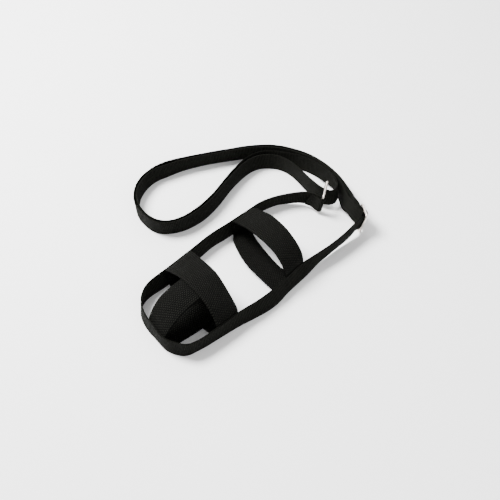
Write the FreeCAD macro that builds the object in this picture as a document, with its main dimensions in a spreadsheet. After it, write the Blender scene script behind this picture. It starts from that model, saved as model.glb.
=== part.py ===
import FreeCAD, Part
import os, math
from FreeCAD import Vector, Placement, Rotation, Matrix

# Webbing carrying sling: a flat-webbing shoulder loop, a ring, a three-bar slider and a
# cradle of side straps with two elastic bands and a base band.
# Frame: Z up, the sling lies with its webbing on edge on the floor plane Z = 0,
# X runs along the cradle from its base to its mouth, Y across it.  Millimetres.

doc = FreeCAD.newDocument("webbing_sling")
sheet = doc.addObject("Spreadsheet::Sheet", "Dims")
DIMS = [
    ("webbing_width", 20.0, "width of the flat webbing"),
    ("webbing_thick", 1.4, "thickness of the flat webbing"),
    ("band_thick", 1.6, "thickness of the elastic bands"),
    ("upper_band_across", 34.4, "upper band, size across its weave"),
    ("lower_band_across", 35.8, "lower band, size across its weave"),
    ("base_band_across", 31.0, "base band, size across its weave"),
    ("ring_wire", 2.8, "wire diameter of the ring"),
    ("ring_tall", 25.2, "ring height between wire centres"),
    ("ring_deep", 27.2, "ring depth between wire centres"),
    ("ring_corner", 3.0, "ring corner radius on the wire centre"),
    ("slider_wire", 2.4, "wire diameter of the slider frame"),
    ("slider_tall", 25.0, "slider frame height between wire centres"),
    ("slider_deep", 20.8, "slider frame depth between outer bar centres"),
    ("slider_corner", 2.6, "slider corner radius on the wire centre"),
    ("centre_bar_dia", 2.4, "diameter of the slider centre bar"),
    ("thread_thick", 0.3, "height of a line of stitches"),
    ("thread_line", 0.9, "width of a line of stitches"),
]
for i, (alias, value, note) in enumerate(DIMS):
    sheet.set("A%d" % (i + 1), str(value))
    sheet.set("B%d" % (i + 1), note)
    sheet.setAlias("A%d" % (i + 1), alias)
doc.recompute()
D = lambda alias: float(sheet.get(alias))

nodes = []


def spline(points):
    c = Part.BSplineCurve()
    c.interpolate([Vector(p[0], p[1], 0) for p in points])
    return c


def sided(points, thick, per=3):
    # two rows of points either side of a plan centre line
    c = spline(points)
    lo, hi = c.FirstParameter, c.LastParameter
    n = per * (len(points) - 1)
    left, right = [], []
    for k in range(n + 1):
        w = lo + (hi - lo) * k / n
        p = c.value(w)
        t = c.tangent(w)[0]
        off = Vector(-t.y, t.x, 0) * (thick / 2.0)
        left.append(p + off)
        right.append(p - off)
    return left, right


def ribbon_face(points, thick, shift=0.0, per=3):
    # plan outline of a strip that stands on edge along the points
    if shift:
        c = spline(points)
        lo, hi = c.FirstParameter, c.LastParameter
        n = 2 * (len(points) - 1)
        moved = []
        for k in range(n + 1):
            w = lo + (hi - lo) * k / n
            p, t = c.value(w), c.tangent(w)[0]
            moved.append(p + Vector(-t.y, t.x, 0) * shift)
        points = moved
    left, right = sided(points, thick, per)
    a = Part.BSplineCurve()
    a.interpolate(left)
    b = Part.BSplineCurve()
    b.interpolate(right)
    wire = Part.Wire([a.toShape(), Part.makeLine(left[-1], right[-1]),
                      b.toShape().reversed(), Part.makeLine(right[0], left[0])])
    return Part.Face(wire)


def plan(name, face):
    o = doc.addObject("Part::Feature", name + "_outline")
    o.Shape = face
    return o


def extrude(name, outline, direction, length_expr):
    e = doc.addObject("Part::Extrusion", name)
    e.Base = outline
    e.DirMode = "Custom"
    e.Dir = direction
    e.Solid = True
    e.setExpression("LengthFwd", length_expr)
    return e


def keep(obj, label, placement=None):
    obj.Label = label
    if placement is not None:
        obj.Placement = placement
    nodes.append((label, obj))
    return obj


def local_frame(origin, xdir, zdir):
    x = Vector(xdir).normalize()
    z = Vector(zdir).normalize()
    y = z.cross(x).normalize()
    x = y.cross(z).normalize()
    m = Matrix(x.x, y.x, z.x, origin.x, x.y, y.y, z.y, origin.y,
               x.z, y.z, z.z, origin.z, 0, 0, 0, 1)
    return Placement(m)


T = D("webbing_thick")
W = D("webbing_width")
BT = D("band_thick")

# ---------------------------------------------------------------- webbing runs
# name, height of the lower edge above the floor, plan centre line
RUNS = [
    # Threaded layer of the shoulder strap where it comes on to the slider
    ("outer_feed_run", 1.0, [
        (126.5, -95.7), (132.3, -85.4), (137.5, -73.8), (143.5, -62.3), (150.2, -47.4)]),
    # Threaded layer along the far arc
    ("far_arc_outer_layer", 0.0, [
        (150.4, -47.0), (153.5, -36.2), (155.5, -25.1), (156.6, -14.0), (156.6, -3.2),
        (155.2, 7.2), (152.6, 17.2), (149.2, 26.8), (145.4, 36.1), (140.4, 44.7), (134.3, 52.5),
        (127.3, 59.4), (119.6, 65.7), (111.5, 71.6), (103.0, 77.0), (94.5, 82.2), (86.4, 87.4)]),
    # Outer layer round the left bend of the loop
    ("left_bend_outer_layer", 0.0, [
        (86.1, 87.7), (77.8, 92.7), (69.2, 97.5), (60.5, 102.2), (51.7, 106.6), (42.5, 110.4),
        (33.3, 114.0), (23.9, 117.1), (14.1, 119.2), (3.8, 119.6), (-7.0, 118.4), (-18.0, 115.3),
        (-28.9, 109.7), (-39.0, 101.5), (-47.0, 91.3), (-52.0, 79.8), (-54.3, 68.1), (-54.7, 57.0),
        (-52.7, 47.5), (-48.0, 40.2), (-41.4, 35.0), (-33.4, 30.9), (-24.6, 28.3)]),
    # Run that comes back along the near side to the ring
    ("near_side_run", 0.0, [
        (-24.2, 28.2), (-14.4, 27.1), (-4.0, 26.9), (6.9, 27.9), (18.1, 29.9), (29.5, 33.0),
        (41.1, 36.7), (52.7, 40.3), (64.5, 43.5), (76.5, 46.1), (88.3, 47.9), (99.5, 47.9),
        (109.1, 45.4), (116.8, 40.4), (123.0, 33.5), (127.1, 24.9), (128.9, 14.6), (128.8, 3.4),
        (127.4, -8.2), (123.9, -24.3)]),
    # Run that goes through the ring and turns back
    ("ring_turn", 4.4, [
        (123.8, -24.8), (122.0, -32.8), (120.7, -40.7), (120.1, -48.0), (120.5, -54.5),
        (122.6, -59.0), (126.8, -60.8), (132.5, -59.2), (137.9, -54.2), (142.1, -47.3),
        (145.3, -39.5), (147.4, -31.6), (148.7, -23.7), (149.4, -16.2)]),
    # Run from the ring back along the near side
    ("return_run", 0.0, [
        (149.4, -15.8), (149.0, -5.1), (146.9, 4.9), (143.8, 14.3), (139.5, 23.1), (134.3, 31.3),
        (128.7, 39.3), (122.2, 45.8), (113.8, 50.4), (104.0, 52.8), (92.8, 52.6), (80.8, 50.6),
        (68.8, 48.1), (57.0, 44.8), (45.2, 41.0), (33.6, 37.4), (22.1, 34.3), (10.8, 32.1),
        (-0.2, 30.9), (-7.1, 30.6)]),
    # Inner layer round the left bend
    ("left_bend_inner_layer", 0.0, [
        (-7.5, 30.6), (-17.6, 31.0), (-27.4, 32.5), (-36.0, 35.7), (-43.1, 40.5), (-48.3, 47.2),
        (-51.3, 56.1), (-51.7, 66.7), (-49.6, 78.2), (-44.6, 89.7), (-36.5, 99.9), (-26.5, 107.8),
        (-15.6, 112.9), (-4.7, 115.8), (5.7, 116.2), (15.2, 114.0), (24.7, 111.3), (34.4, 108.9),
        (43.9, 105.5), (52.9, 101.4), (61.8, 97.1), (73.2, 91.0)]),
    # Inner layer along the far arc
    ("far_arc_inner_layer", 0.0, [
        (73.6, 90.8), (81.9, 85.9), (90.4, 81.0), (99.1, 76.0), (107.6, 70.8), (115.8, 65.0),
        (123.3, 58.5), (130.1, 51.3), (136.0, 43.4), (141.2, 35.0), (145.4, 25.9), (148.8, 16.4),
        (151.8, 6.7), (153.9, -3.2), (153.9, -14.0), (153.3, -21.2)]),
    # Last stretch of the inner layer before its sewn end
    ("inner_feed_run", 0.6, [
        (153.3, -21.6), (151.8, -32.5), (148.9, -43.5), (144.2, -54.3), (137.5, -65.3),
        (130.2, -76.3)]),
    # First stretch of the front side strap after the slider
    ("front_feed_run", 0.0, [
        (105.2, -114.4), (98.9, -114.5), (88.5, -116.0), (78.8, -115.9), (69.3, -115.7),
        (60.3, -115.6)]),
    # Front side strap of the cradle
    ("front_side_strap", 0.0, [
        (59.8, -115.6), (50.9, -115.4), (41.9, -115.0), (33.0, -115.1), (24.4, -115.4),
        (16.0, -115.3), (7.5, -115.5), (-1.7, -116.3), (-10.8, -117.2), (-19.5, -118.3),
        (-28.3, -119.4), (-36.8, -119.7), (-45.3, -119.5), (-53.9, -118.8), (-62.1, -117.7),
        (-70.1, -116.5), (-78.0, -115.3), (-85.9, -114.5), (-94.0, -114.1), (-102.0, -113.6),
        (-109.7, -113.0), (-117.4, -112.4), (-125.0, -111.7), (-134.5, -110.2)]),
    # Bend of the cradle strap round the base
    ("base_strap", 0.0, [
        (-134.8, -110.1), (-141.5, -108.5), (-147.2, -105.6), (-151.2, -100.2), (-154.4, -93.6),
        (-156.5, -86.6), (-156.5, -79.0), (-154.9, -70.6), (-153.0, -62.0), (-151.2, -53.3),
        (-148.6, -44.6), (-144.5, -36.2), (-138.8, -28.8), (-131.5, -23.1), (-123.3, -19.6),
        (-115.1, -18.1), (-107.0, -17.8), (-98.7, -17.8), (-90.5, -17.4)]),
    # Back side strap of the cradle
    ("back_side_strap", 0.0, [
        (-90.1, -17.3), (-81.8, -16.7), (-73.3, -16.0), (-64.7, -15.3), (-56.0, -14.6),
        (-47.3, -13.8), (-38.4, -12.9), (-29.5, -12.1), (-20.6, -11.8), (-11.8, -12.3),
        (-2.9, -12.9), (6.2, -13.0), (15.2, -13.0), (24.4, -12.8), (33.7, -12.6), (43.1, -12.1),
        (52.7, -12.0), (61.8, -13.4), (70.5, -15.9), (78.6, -19.1)]),
]
run_points = {}
for name, z0, pts in RUNS:
    run_points[name] = pts
    e = extrude(name, plan(name, ribbon_face(pts, T)), Vector(0, 0, 1), "Dims.webbing_width")
    keep(e, name, Placement(Vector(0, 0, z0), Rotation()))

# ---------------------------------------------------------------- sewn end, flat part
TAB_INNER = [
    (130.4, -78.5), (127.1, -84.3), (124.8, -89.4), (123.3, -93.6)]
TAB_TURNED = [
    (131.8, -79.5), (128.5, -85.3), (126.2, -90.4), (124.6, -94.6)]
for name, pts in (("sewn_end_long_ply", TAB_INNER), ("sewn_end_turned_ply", TAB_TURNED)):
    e = extrude(name, plan(name, ribbon_face(pts, T)), Vector(0, 0, 1), "Dims.webbing_width")
    keep(e, name, Placement(Vector(0, 0, 2.8), Rotation()))

# ---------------------------------------------------------------- slider
# local axes: X along the strap through the slider, Z along its bars
slider_at = local_frame(Vector(119.87, -108.66, 13.61), Vector(-0.58553, -0.81065, 0.00048), Vector(0.22200, -0.15978, 0.96187))


def rounded_path(body, tall, deep, corner, tag):
    # closed rounded rectangle in the body's XZ plane, starting half way up one side
    sk = body.newObject("Sketcher::SketchObject", tag + "_path")
    sk.AttachmentSupport = [(body.Origin.OriginFeatures[4], "")]
    sk.MapMode = "FlatFace"
    a, b, r = D(deep) / 2.0, D(tall) / 2.0, D(corner)
    V = lambda x, y: Vector(x, y, 0)
    geo = [Part.LineSegment(V(a, 0), V(a, b - r)),
           Part.ArcOfCircle(Part.Circle(V(a - r, b - r), Vector(0, 0, 1), r), 0, math.pi / 2),
           Part.LineSegment(V(a - r, b), V(r - a, b)),
           Part.ArcOfCircle(Part.Circle(V(r - a, b - r), Vector(0, 0, 1), r), math.pi / 2, math.pi),
           Part.LineSegment(V(-a, b - r), V(-a, r - b)),
           Part.ArcOfCircle(Part.Circle(V(r - a, r - b), Vector(0, 0, 1), r), math.pi, 1.5 * math.pi),
           Part.LineSegment(V(r - a, -b), V(a - r, -b)),
           Part.ArcOfCircle(Part.Circle(V(a - r, r - b), Vector(0, 0, 1), r), 1.5 * math.pi, 2 * math.pi),
           Part.LineSegment(V(a, r - b), V(a, 0))]
    sk.addGeometry(geo, False)
    import Sketcher
    C = Sketcher.Constraint
    cs = [C("Tangent", 0, 2, 1, 1), C("Tangent", 1, 2, 2, 1), C("Tangent", 2, 2, 3, 1),
          C("Tangent", 3, 2, 4, 1), C("Tangent", 4, 2, 5, 1), C("Tangent", 5, 2, 6, 1),
          C("Tangent", 6, 2, 7, 1), C("Tangent", 7, 2, 8, 1), C("Coincident", 8, 2, 0, 1),
          C("Vertical", 0), C("Vertical", 4), C("Horizontal", 2), C("Horizontal", 6),
          C("PointOnObject", 0, 1, -1), C("Equal", 1, 3), C("Equal", 3, 5), C("Equal", 5, 7),
          C("Symmetric", 1, 3, 5, 3, -1, 1)]
    sk.addConstraint(cs)
    i = sk.addConstraint(C("Radius", 1, r))
    j = sk.addConstraint(C("DistanceX", 4, 1, 0, 2, 2 * a))
    k = sk.addConstraint(C("DistanceY", 6, 1, 2, 2, 2 * b))
    sk.setExpression("Constraints[%d]" % i, "Dims." + corner)
    sk.setExpression("Constraints[%d]" % j, "Dims." + deep)
    sk.setExpression("Constraints[%d]" % k, "Dims." + tall)
    return sk


def wire_frame(label, wire, tall, deep, corner, placement):
    body = doc.addObject("PartDesign::Body", label)
    body.Label = label
    path = rounded_path(body, tall, deep, corner, label)
    import Sketcher
    prof = body.newObject("Sketcher::SketchObject", label + "_section")
    prof.AttachmentSupport = [(body.Origin.OriginFeatures[3], "")]
    prof.MapMode = "FlatFace"
    prof.addGeometry(Part.Circle(Vector(D(deep) / 2.0, 0, 0), Vector(0, 0, 1), D(wire) / 2.0), False)
    prof.addConstraint(Sketcher.Constraint("PointOnObject", 0, 3, -1))
    i = prof.addConstraint(Sketcher.Constraint("DistanceX", -1, 1, 0, 3, D(deep) / 2.0))
    j = prof.addConstraint(Sketcher.Constraint("Radius", 0, D(wire) / 2.0))
    prof.setExpression("Constraints[%d]" % i, "Dims.%s / 2" % deep)
    prof.setExpression("Constraints[%d]" % j, "Dims.%s / 2" % wire)
    pipe = body.newObject("PartDesign::AdditivePipe", label + "_wire")
    pipe.Profile = prof
    pipe.Spine = (path, ["Edge%d" % k for k in range(1, 10)])
    body.Tip = pipe
    body.Placement = placement
    nodes.append((label, body))
    return body


wire_frame("slider_frame", "slider_wire", "slider_tall", "slider_deep", "slider_corner", slider_at)

bar = doc.addObject("Part::Cylinder", "slider_centre_bar")
bar.setExpression("Radius", "Dims.centre_bar_dia / 2")
bar.setExpression("Height", "Dims.slider_tall - Dims.slider_wire - 0.1")
reach = D("slider_tall") - D("slider_wire") - 0.1
keep(bar, "slider_centre_bar", slider_at.multiply(Placement(Vector(0, 0, -reach / 2.0), Rotation())))

# strap end wrapped round the centre bar, seen along the bar
LOOP = [(-13.8, -4.05), (-10.8, -3.95), (-8.3, -3.4), (-5.6, -1.2), (-3.4, 0.9), (-1.7, 1.75), (0.0, 2.1),
        (1.5, 1.5), (2.1, 0.0), (1.5, -1.5), (0.0, -2.1), (-3.0, -3.2), (-6.8, -4.9), (-10.4, -5.75), (-13.8, -5.9)]
e = extrude("sewn_end_loop", plan("sewn_end_loop", ribbon_face(LOOP, T, per=4)), Vector(0, 0, 1), "Dims.webbing_width")
keep(e, "sewn_end_loop", slider_at.multiply(Placement(Vector(0, 0, -W / 2.0), Rotation())))

# threaded strap over the centre bar
HUMP = [(-13.8, -2.2), (-11.2, -2.15), (-9.1, -1.6), (-6.8, 0.4), (-4.5, 2.55), (-2.3, 3.7), (0.0, 4.1), (2.4, 3.7),
        (4.6, 2.4), (6.8, 0.2), (8.4, -2.7), (9.8, -4.9), (11.2, -6.7)]
e = extrude("threaded_hump", plan("threaded_hump", ribbon_face(HUMP, T, per=4)), Vector(0, 0, 1), "Dims.webbing_width")
keep(e, "threaded_hump", slider_at.multiply(Placement(Vector(0, 0, -W / 2.0), Rotation())))

# ---------------------------------------------------------------- ring
RING_O, RING_X, RING_Z = (Vector(103.98, -61.34, 14.08), Vector(0.84882, 0.52784, 0.02996), Vector(0.08551, -0.19299, 0.97747))
ring_near = local_frame(RING_O, RING_X, RING_Z)
ring_at = ring_near.multiply(Placement(Vector(D("ring_deep") / 2.0, 0, 0), Rotation()))
wire_frame("ring", "ring_wire", "ring_tall", "ring_deep", "ring_corner", ring_at)

# back strap end folded round the ring's near side
FOLD = [
    (86.4, -24.1), (94.3, -31.3), (99.7, -38.0), (103.1, -48.3), (104.0, -54.2),
    (105.4, -57.4), (106.4, -60.9), (106.4, -61.9), (106.0, -62.8), (105.3, -63.4),
    (104.4, -63.8), (103.5, -63.8), (102.6, -63.4), (101.9, -62.7), (101.5, -61.8),
    (101.4, -58.2), (101.8, -53.6), (101.0, -48.7), (99.5, -43.4)]
zb = Vector(RING_Z).normalize()
e = extrude("ring_fold", plan("ring_fold", ribbon_face(FOLD, T, per=4)), zb, "Dims.webbing_width")
keep(e, "ring_fold", Placement(Vector(-zb.x * W / 2, -zb.y * W / 2, RING_O.z - zb.z * W / 2), Rotation()))

# ---------------------------------------------------------------- elastic bands


def loop_profile(prof, thick):
    # closed loop seen along the band's weave: arch over the top, straight sides, flat run on the floor
    t0, t1 = prof[0][0], prof[-1][0]

    def ring_wire(inset):
        a, b = t0 + inset, t1 - inset
        mid = (t0 + t1) / 2.0
        top = []
        n = len(prof)
        for k, (tt, z) in enumerate(prof):
            p0 = prof[max(k - 1, 0)]
            p1 = prof[min(k + 1, n - 1)]
            if k in (0, n - 1):
                nx, nz = (-1.0, 0.0) if k == 0 else (1.0, 0.0)
            else:
                dx, dz = p1[0] - p0[0], p1[1] - p0[1]
                L = math.hypot(dx, dz)
                nx, nz = -dz / L, dx / L
            top.append((tt - nx * inset, z - nz * inset))
        c = Part.BSplineCurve()
        c.interpolate(Points=[Vector(x, 0, z) for x, z in top],
                      InitialTangent=Vector(0, 0, 1), FinalTangent=Vector(0, 0, -1))
        r = 3.0 - inset * 0.6
        lo = inset
        P = lambda x, z: Vector(x, 0, z)
        k = r * (1 - math.sqrt(0.5))
        return Part.Wire([c.toShape(),
                          Part.makeLine(P(b, top[-1][1]), P(b, lo + r)),
                          Part.Arc(P(b, lo + r), P(b - k, lo + k), P(b - r, lo)).toShape(),
                          Part.makeLine(P(b - r, lo), P(a + r, lo)),
                          Part.Arc(P(a + r, lo), P(a + k, lo + k), P(a, lo + r)).toShape(),
                          Part.makeLine(P(a, lo + r), P(a, top[0][1]))])
    outer, inner = ring_wire(0.0), ring_wire(thick)
    return Part.Face(outer).cut(Part.Face(inner)).Faces[0]


def along(K, e):
    # frame with X along the plan direction e and Z up
    return Placement(Matrix(e[0], -e[1], 0, K[0], e[1], e[0], 0, K[1], 0, 0, 1, 0, 0, 0, 0, 1))


def elastic_loop(label, K, e, a, prof, across):
    outline = plan(label, loop_profile(prof, BT))
    # weave direction in the local frame; length follows the size across the weave
    ax = a[0] * e[0] + a[1] * e[1]
    ay = -a[0] * e[1] + a[1] * e[0]
    x = extrude(label, outline, Vector(ax, ay, 0).normalize(), "Dims." + across)
    return keep(x, label, along(K, e))


elastic_loop("upper_band", (4.23, -14.30), (-0.19173, -0.98145), (34.44, 0.92), [(0.2, 17.5), (8.1, 25.0), (20.1, 31.5), (40.0, 37.2), (59.8, 39.0), (79.7, 37.0), (93.6, 31.5), (99.6, 25.5), (102.6, 17.5)], "upper_band_across")
elastic_loop("lower_band", (-95.90, -17.41), (-0.16756, -0.98586), (35.71, -2.48), [(1.4, 17.5), (7.3, 24.5), (16.1, 30.0), (30.8, 35.5), (45.5, 37.5), (60.2, 36.8), (74.9, 32.5), (86.7, 26.5), (92.6, 22.0), (95.5, 17.5)], "lower_band_across")

# base band: up the inside of the base strap, one leg under the lower band's arch, one on its floor
A, E, WV = ((-151.05, -54.89), (0.99985, 0.02404), (-5.51, -30.55))
LEG = [(74.0, 31.1), (62.0, 31.1), (50.0, 31.1), (38.0, 30.3), (26.0, 28.3), (14.0, 24.2), (6.5, 19.6), (3.2, 14.6),
       (2.2, 9.0), (2.6, 4.0), (5.3, 1.35), (9.5, 0.9), (20.0, 0.9), (32.0, 0.9), (37.5, 1.0), (42.0, 1.9), (46.5, 2.8), (56.0, 2.9), (68.0, 2.9)]
leg_face = ribbon_face(LEG, BT, per=3)
leg_face.rotate(Vector(0, 0, 0), Vector(1, 0, 0), 90)
e = extrude("base_band", plan("base_band", leg_face),
            Vector(WV[0] * E[0] + WV[1] * E[1], -WV[0] * E[1] + WV[1] * E[0], 0).normalize(), "Dims.base_band_across")
keep(e, "base_band", along(A, E))

# ---------------------------------------------------------------- lines of stitches
# a thin frame of thread on the outer face of a strap, following its curve


def stitch_frame(label, pts, shift, z0, tall, first, last):
    # pts: strap centre line, shift: signed distance of the thread's own middle from it
    c = spline(pts)
    lo, hi = c.FirstParameter, c.LastParameter
    sub = [c.value(lo + (hi - lo) * (first + (last - first) * k / 6.0)) for k in range(7)]
    tt = D("thread_thick")
    outer = ribbon_face([(p.x, p.y) for p in sub], tt, shift=shift)
    line = D("thread_line")
    body = extrude(label + "_patch", plan(label + "_patch", outer), Vector(0, 0, 1), "Dims.webbing_width - 6")
    body.Placement = Placement(Vector(0, 0, z0), Rotation())
    doc.recompute()
    # window that leaves only the border
    n = 24
    win = []
    L = c.length(lo, hi) if hasattr(c, "length") else 0
    chord = (sub[-1] - sub[0]).Length
    f = line / chord
    inner = [c.value(lo + (hi - lo) * (first + (last - first) * (f + (1 - 2 * f) * k / 6.0))) for k in range(7)]
    wf = ribbon_face([(p.x, p.y) for p in inner], tt + 2.0, shift=shift)
    w = extrude(label + "_window", plan(label + "_window", wf), Vector(0, 0, 1), "Dims.webbing_width - 6 - 2 * Dims.thread_line")
    w.Placement = Placement(Vector(0, 0, z0 + line), Rotation())
    cut = doc.addObject("Part::Cut", label)
    cut.Base = body
    cut.Tool = w
    return keep(cut, label)


clear = T / 2 + 0.08 + D("thread_thick") / 2
stitch_frame("upper_band_front_stitches", run_points["front_side_strap"], clear, 3.0, 14, 0.28, 0.39)
stitch_frame("upper_band_back_stitches", run_points["back_side_strap"], clear, 3.0, 14, 0.59, 0.72)
stitch_frame("lower_band_front_stitches", run_points["front_side_strap"], clear, 3.0, 14, 0.76, 0.88)
stitch_frame("lower_band_back_stitches", run_points["back_side_strap"], clear, 3.0, 14, 0.02, 0.15)
stitch_frame("base_band_stitches", run_points["base_strap"], clear, 3.0, 14, 0.30, 0.46)

# ---------------------------------------------------------------- write the parts
doc.recompute()
bad = []
for o in doc.Objects:
    if "Invalid" in o.State or "Error" in o.State:
        bad.append((o.Name, o.State))
if bad:
    raise RuntimeError("objects in error: %s" % bad)
os.makedirs("parts", exist_ok=True)
for label, obj in nodes:
    sh = obj.Shape
    if sh.isNull() or not sh.isValid() or len(sh.Solids) != 1:
        raise RuntimeError("bad shape: %s null=%s solids=%d" % (label, sh.isNull(), len(sh.Solids)))
    sh.exportStep("parts/%s.step" % label)
    bb = sh.BoundBox
    print("%-28s vol %9.1f  x %.1f..%.1f y %.1f..%.1f z %.1f..%.1f" % (label, sh.Volume, bb.XMin, bb.XMax, bb.YMin, bb.YMax, bb.ZMin, bb.ZMax))
print("nodes", len(nodes))
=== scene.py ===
import bpy, math
import numpy as np
from mathutils import Vector, Matrix

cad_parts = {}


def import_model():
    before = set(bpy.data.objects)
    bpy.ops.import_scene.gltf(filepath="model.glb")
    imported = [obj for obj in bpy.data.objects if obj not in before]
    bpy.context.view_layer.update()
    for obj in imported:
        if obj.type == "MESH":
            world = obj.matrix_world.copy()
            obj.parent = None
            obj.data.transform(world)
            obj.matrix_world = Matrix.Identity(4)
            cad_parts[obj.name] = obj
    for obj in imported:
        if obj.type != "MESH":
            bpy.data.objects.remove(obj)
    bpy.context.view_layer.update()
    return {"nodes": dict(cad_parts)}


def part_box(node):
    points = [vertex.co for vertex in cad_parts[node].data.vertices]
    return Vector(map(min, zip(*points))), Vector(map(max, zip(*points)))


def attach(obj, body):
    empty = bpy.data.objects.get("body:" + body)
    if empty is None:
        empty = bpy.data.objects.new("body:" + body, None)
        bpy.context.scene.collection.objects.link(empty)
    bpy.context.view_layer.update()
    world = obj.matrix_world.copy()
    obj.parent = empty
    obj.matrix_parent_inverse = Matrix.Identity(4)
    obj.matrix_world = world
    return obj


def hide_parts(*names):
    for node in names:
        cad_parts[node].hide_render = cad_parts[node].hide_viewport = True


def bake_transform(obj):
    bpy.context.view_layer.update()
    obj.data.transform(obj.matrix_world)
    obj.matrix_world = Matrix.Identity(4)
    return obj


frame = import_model()

# ------------------------------------------------------------------ camera
cam = bpy.data.cameras.new("camera")
camo = bpy.data.objects.new("camera", cam)
bpy.context.scene.collection.objects.link(camo)
camo.location = Vector((-0.49305, -0.54255, 0.72734))
aim = Vector((-0.00185, -0.05135, 0.00800)) - camo.location
camo.rotation_euler = aim.to_track_quat("-Z", "Y").to_euler()
cam.sensor_fit = "HORIZONTAL"
cam.angle = math.radians(31.05)
cam.clip_start, cam.clip_end = 0.05, 50
bpy.context.scene.camera = camo

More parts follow.
